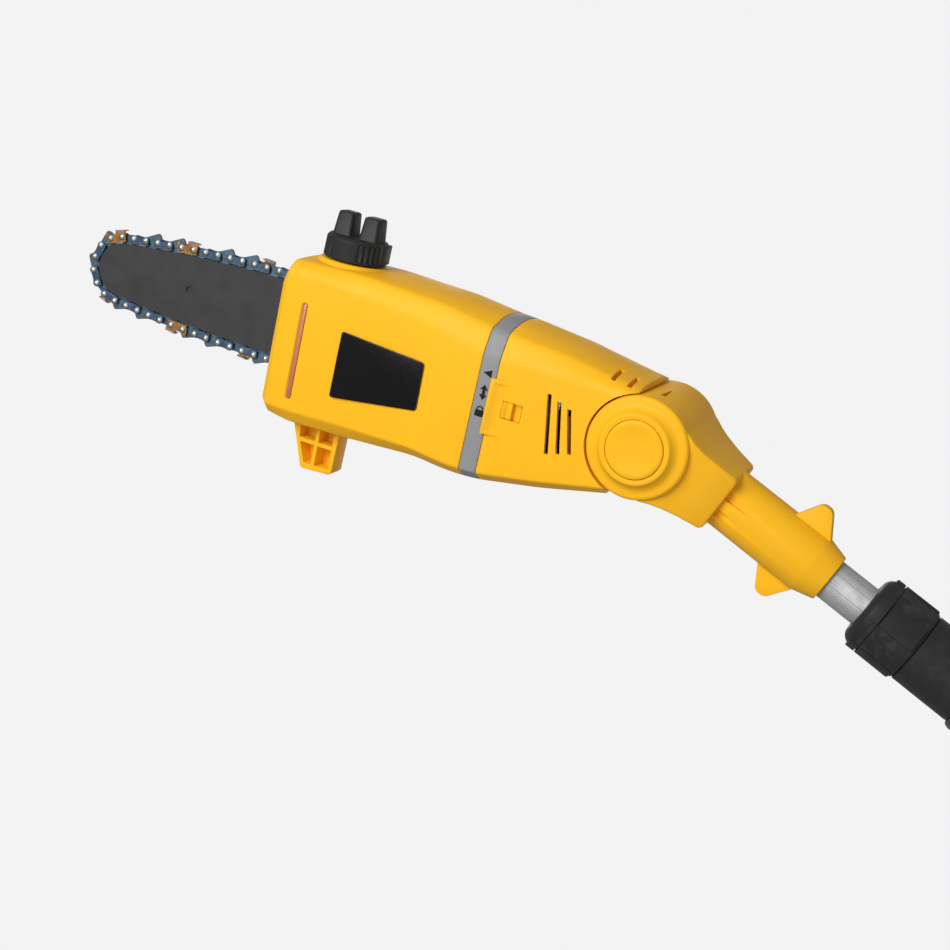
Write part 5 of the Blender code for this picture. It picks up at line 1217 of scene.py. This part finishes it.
def build_screws():
    """Pan-head screws with a cross recess."""
    for node, place, body in (
        ("head_screw_1", HEAD, "saw_head"),
        ("head_screw_2", HEAD, "saw_head"),
        ("motor_screw_1", HEAD, "motor_unit"),
        ("motor_screw_2", HEAD, "motor_unit"),
        ("neck_screw_1", POLE, "inner_pole"),
        ("handle_screw_1", POLE, "outer_pole"),
        ("handle_screw_2", POLE, "outer_pole"),
        ("handle_screw_3", POLE, "outer_pole"),
    ):
        low, high = box_in(node, place)
        middle = ((low.x + high.x) / 2, 0, (low.z + high.z) / 2)
        head = high.y
        profile = [
            (low.y, 0.0008), (low.y + 0.002, SCREW_SHANK), (head - 0.0022, SCREW_SHANK),
            (head - 0.0022, SCREW_HEAD), (head - 0.0010, SCREW_HEAD), (head - 0.0003, 0.0027), (head, 0.0014),
        ]
        screw = turned("screw", profile, "Y", middle, 24)
        for wide, tall in ((0.0017, 0.0003), (0.0003, 0.0017)):
            x, z = middle[0], middle[2]
            cut(screw, brick((x - wide, x + wide), (head - 0.0010, head + 0.001), (z - tall, z + tall)))
        done(screw, node + "_driven", "steel", place, body, node)


INSIDE = {
    "steel": (
        "bar_stud", "pinion_bearing", "shaft_bearing", "tension_peg", "tension_screw", "bevel_pinion",
        "sprocket_shaft", "bevel_gear", "drive_sprocket", "front_bearing", "rear_bearing", "motor_coupling",
        "pivot_pin", "latch_spring", "tilt_button_spring", "trigger_spring",
    ),
    "worn_steel": ("stator",),
    "aluminium": ("tilt_bracket",),
    "black": ("bayonet_spigot", "brush_gear", "cooling_fan", "switch_box"),
    "copper": ("armature",),
    "tank": ("oil_tank",),
}


def coat_inside():
    """Working parts inside keep their shapes and get finishes of their own."""
    for look, nodes in INSIDE.items():
        coat(look, *nodes)


# ---------------------------------------------------------------- stage

# Strength of the surroundings as seen and as light, and each lamp's offset, size and power
PALE = 0.896
AMBIENT = 0.31
LIGHTS = [
    ("key", (-0.72, -1.40, 0.48), (1.0, 1.0), 25.0),
    ("fill", (1.10, -1.30, -0.20), (1.2, 1.0), 5.0),
    ("top", (0.10, -0.10, 1.60), (1.4, 0.8), 0.6),
    ("back", (-0.20, 1.50, -0.40), (1.4, 1.0), 7.0),
]


def pale_when_seen(tree, strength):
    """Drives a strength that is pale where it is seen and softer as light."""
    seen = tree.nodes.new("ShaderNodeLightPath").outputs["Is Camera Ray"]
    level = tree.nodes.new("ShaderNodeMix")
    level.inputs[2].default_value = AMBIENT
    level.inputs[3].default_value = PALE
    tree.links.new(seen, level.inputs[0])
    tree.links.new(level.outputs[0], strength)


def build_stage():
    scene = bpy.context.scene
    low, high = CAD_BOX
    scene.view_settings.view_transform = "Standard"
    world = bpy.data.worlds.new("studio")
    scene.world = world
    world.use_nodes = True
    background = world.node_tree.nodes["Background"]
    background.inputs["Color"].default_value = (1, 1, 1, 1)
    pale_when_seen(world.node_tree, background.inputs["Strength"])

    height = low.z - scene.pole_saw_sizes.floor_drop
    bpy.ops.object.select_all(action="DESELECT")
    bpy.ops.mesh.primitive_plane_add(size=80, location=((low.x + high.x) / 2, 0, height))
    floor = bpy.context.object
    floor.name = "floor"
    pale = bpy.data.materials.new("pale_floor")
    pale.use_nodes = True
    nodes, links = pale.node_tree.nodes, pale.node_tree.links
    nodes.clear()
    glow = nodes.new("ShaderNodeEmission")
    pale_when_seen(pale.node_tree, glow.inputs["Strength"])
    links.new(glow.outputs[0], nodes.new("ShaderNodeOutputMaterial").inputs["Surface"])
    floor.data.materials.append(pale)

    aim = PIVOT + Vector((-0.08, 0, -0.03))
    for name, offset, size, power in LIGHTS:
        lamp = bpy.data.lights.new(name, "AREA")
        lamp.shape = "RECTANGLE"
        lamp.size, lamp.size_y = size
        lamp.energy = power
        holder = bpy.data.objects.new(name, lamp)
        scene.collection.objects.link(holder)
        holder.location = aim + Vector(offset)
        holder.rotation_euler = (-Vector(offset)).to_track_quat("-Z", "Y").to_euler()

    lens = bpy.data.cameras.new("view")
    lens.lens = 60.63
    lens.sensor_width = 36
    camera = bpy.data.objects.new("view", lens)
    scene.collection.objects.link(camera)
    right = Vector((0.758949, 0.368178, 0.537067))
    up = Vector((-0.623703, 0.174100, 0.762026))
    turn = Matrix((right, up, right.cross(up))).transposed().to_4x4()
    camera.matrix_world = Matrix.Translation(PIVOT + Vector((0.11350, -0.93340, 0.27713))) @ turn
    scene.camera = camera


# ---------------------------------------------------------------- operators and panel


def operator(name, label, words, *builders):
    """An operator class that runs its builders."""

    def execute(self, context):
        for builder in builders:
            builder()
        return {"FINISHED"}

    body = {"__doc__": words, "bl_idname": f"pole_saw.{name}", "bl_label": label, "execute": execute}
    return type(f"POLE_SAW_OT_{name}", (bpy.types.Operator,), body)


OPERATORS = [
    operator("head_case", "Head case", "Build the saw head's two shells, window and label", build_head_case),
    operator("cover", "Chain cover", "Build the sprocket cover and its nut", build_cover),
    operator("branch_stop", "Branch stop", "Build the ribbed foot under the head", build_branch_stop),
    operator("oil_cap", "Oil cap", "Build the fluted oil cap", build_oil_cap),
    operator("bar", "Guide bar", "Build the layered guide bar", build_bar),
    operator("chain", "Saw chain", "Build the chain link by link", build_chain),
    operator("ring", "Position ring", "Build the grey ring and its signs", build_ring),
    operator("motor_case", "Motor case", "Build the motor's shells, guard and latch", build_motor_case),
    operator("neck", "Neck", "Build the neck's shells and the release button", build_neck, build_button),
    operator("tubes", "Tubes", "Build the pole's tubes", build_tubes),
    operator("lock", "Twist lock", "Build the collar, its sleeve and the foam grip", build_lock),
    operator("handle", "Rear handle", "Build the rear handle, trigger, button and inlet", build_handle),
    operator("screws", "Screws", "Build the case screws", build_screws),
    operator("inside", "Inside parts", "Finish the working parts inside", coat_inside),
    operator("stage", "Stage", "Build the floor, lights and camera", build_stage),
]


class POLE_SAW_PT_build(bpy.types.Panel):
    """Lists the pole saw's build steps"""

    bl_label = "Pole Saw"
    bl_idname = "POLE_SAW_PT_build"
    bl_space_type = "VIEW_3D"
    bl_region_type = "UI"
    bl_category = "Pole Saw"

    def draw(self, context):
        for group in (context.scene.pole_saw_colours, context.scene.pole_saw_sizes):
            for key in group.__annotations__:
                self.layout.prop(group, key)
        for kind in OPERATORS:
            self.layout.operator(kind.bl_idname)


CLASSES = [PoleSawColours, PoleSawSizes, *OPERATORS, POLE_SAW_PT_build]


def register():
    for kind in CLASSES:
        bpy.utils.register_class(kind)
    bpy.types.Scene.pole_saw_colours = bpy.props.PointerProperty(type=PoleSawColours)
    bpy.types.Scene.pole_saw_sizes = bpy.props.PointerProperty(type=PoleSawSizes)


def unregister():
    del bpy.types.Scene.pole_saw_colours
    del bpy.types.Scene.pole_saw_sizes
    for kind in reversed(CLASSES):
        bpy.utils.unregister_class(kind)


def main():
    register()
    for kind in OPERATORS:
        getattr(bpy.ops.pole_saw, kind.bl_idname.split(".")[1])()


if __name__ == "__main__":
    main()
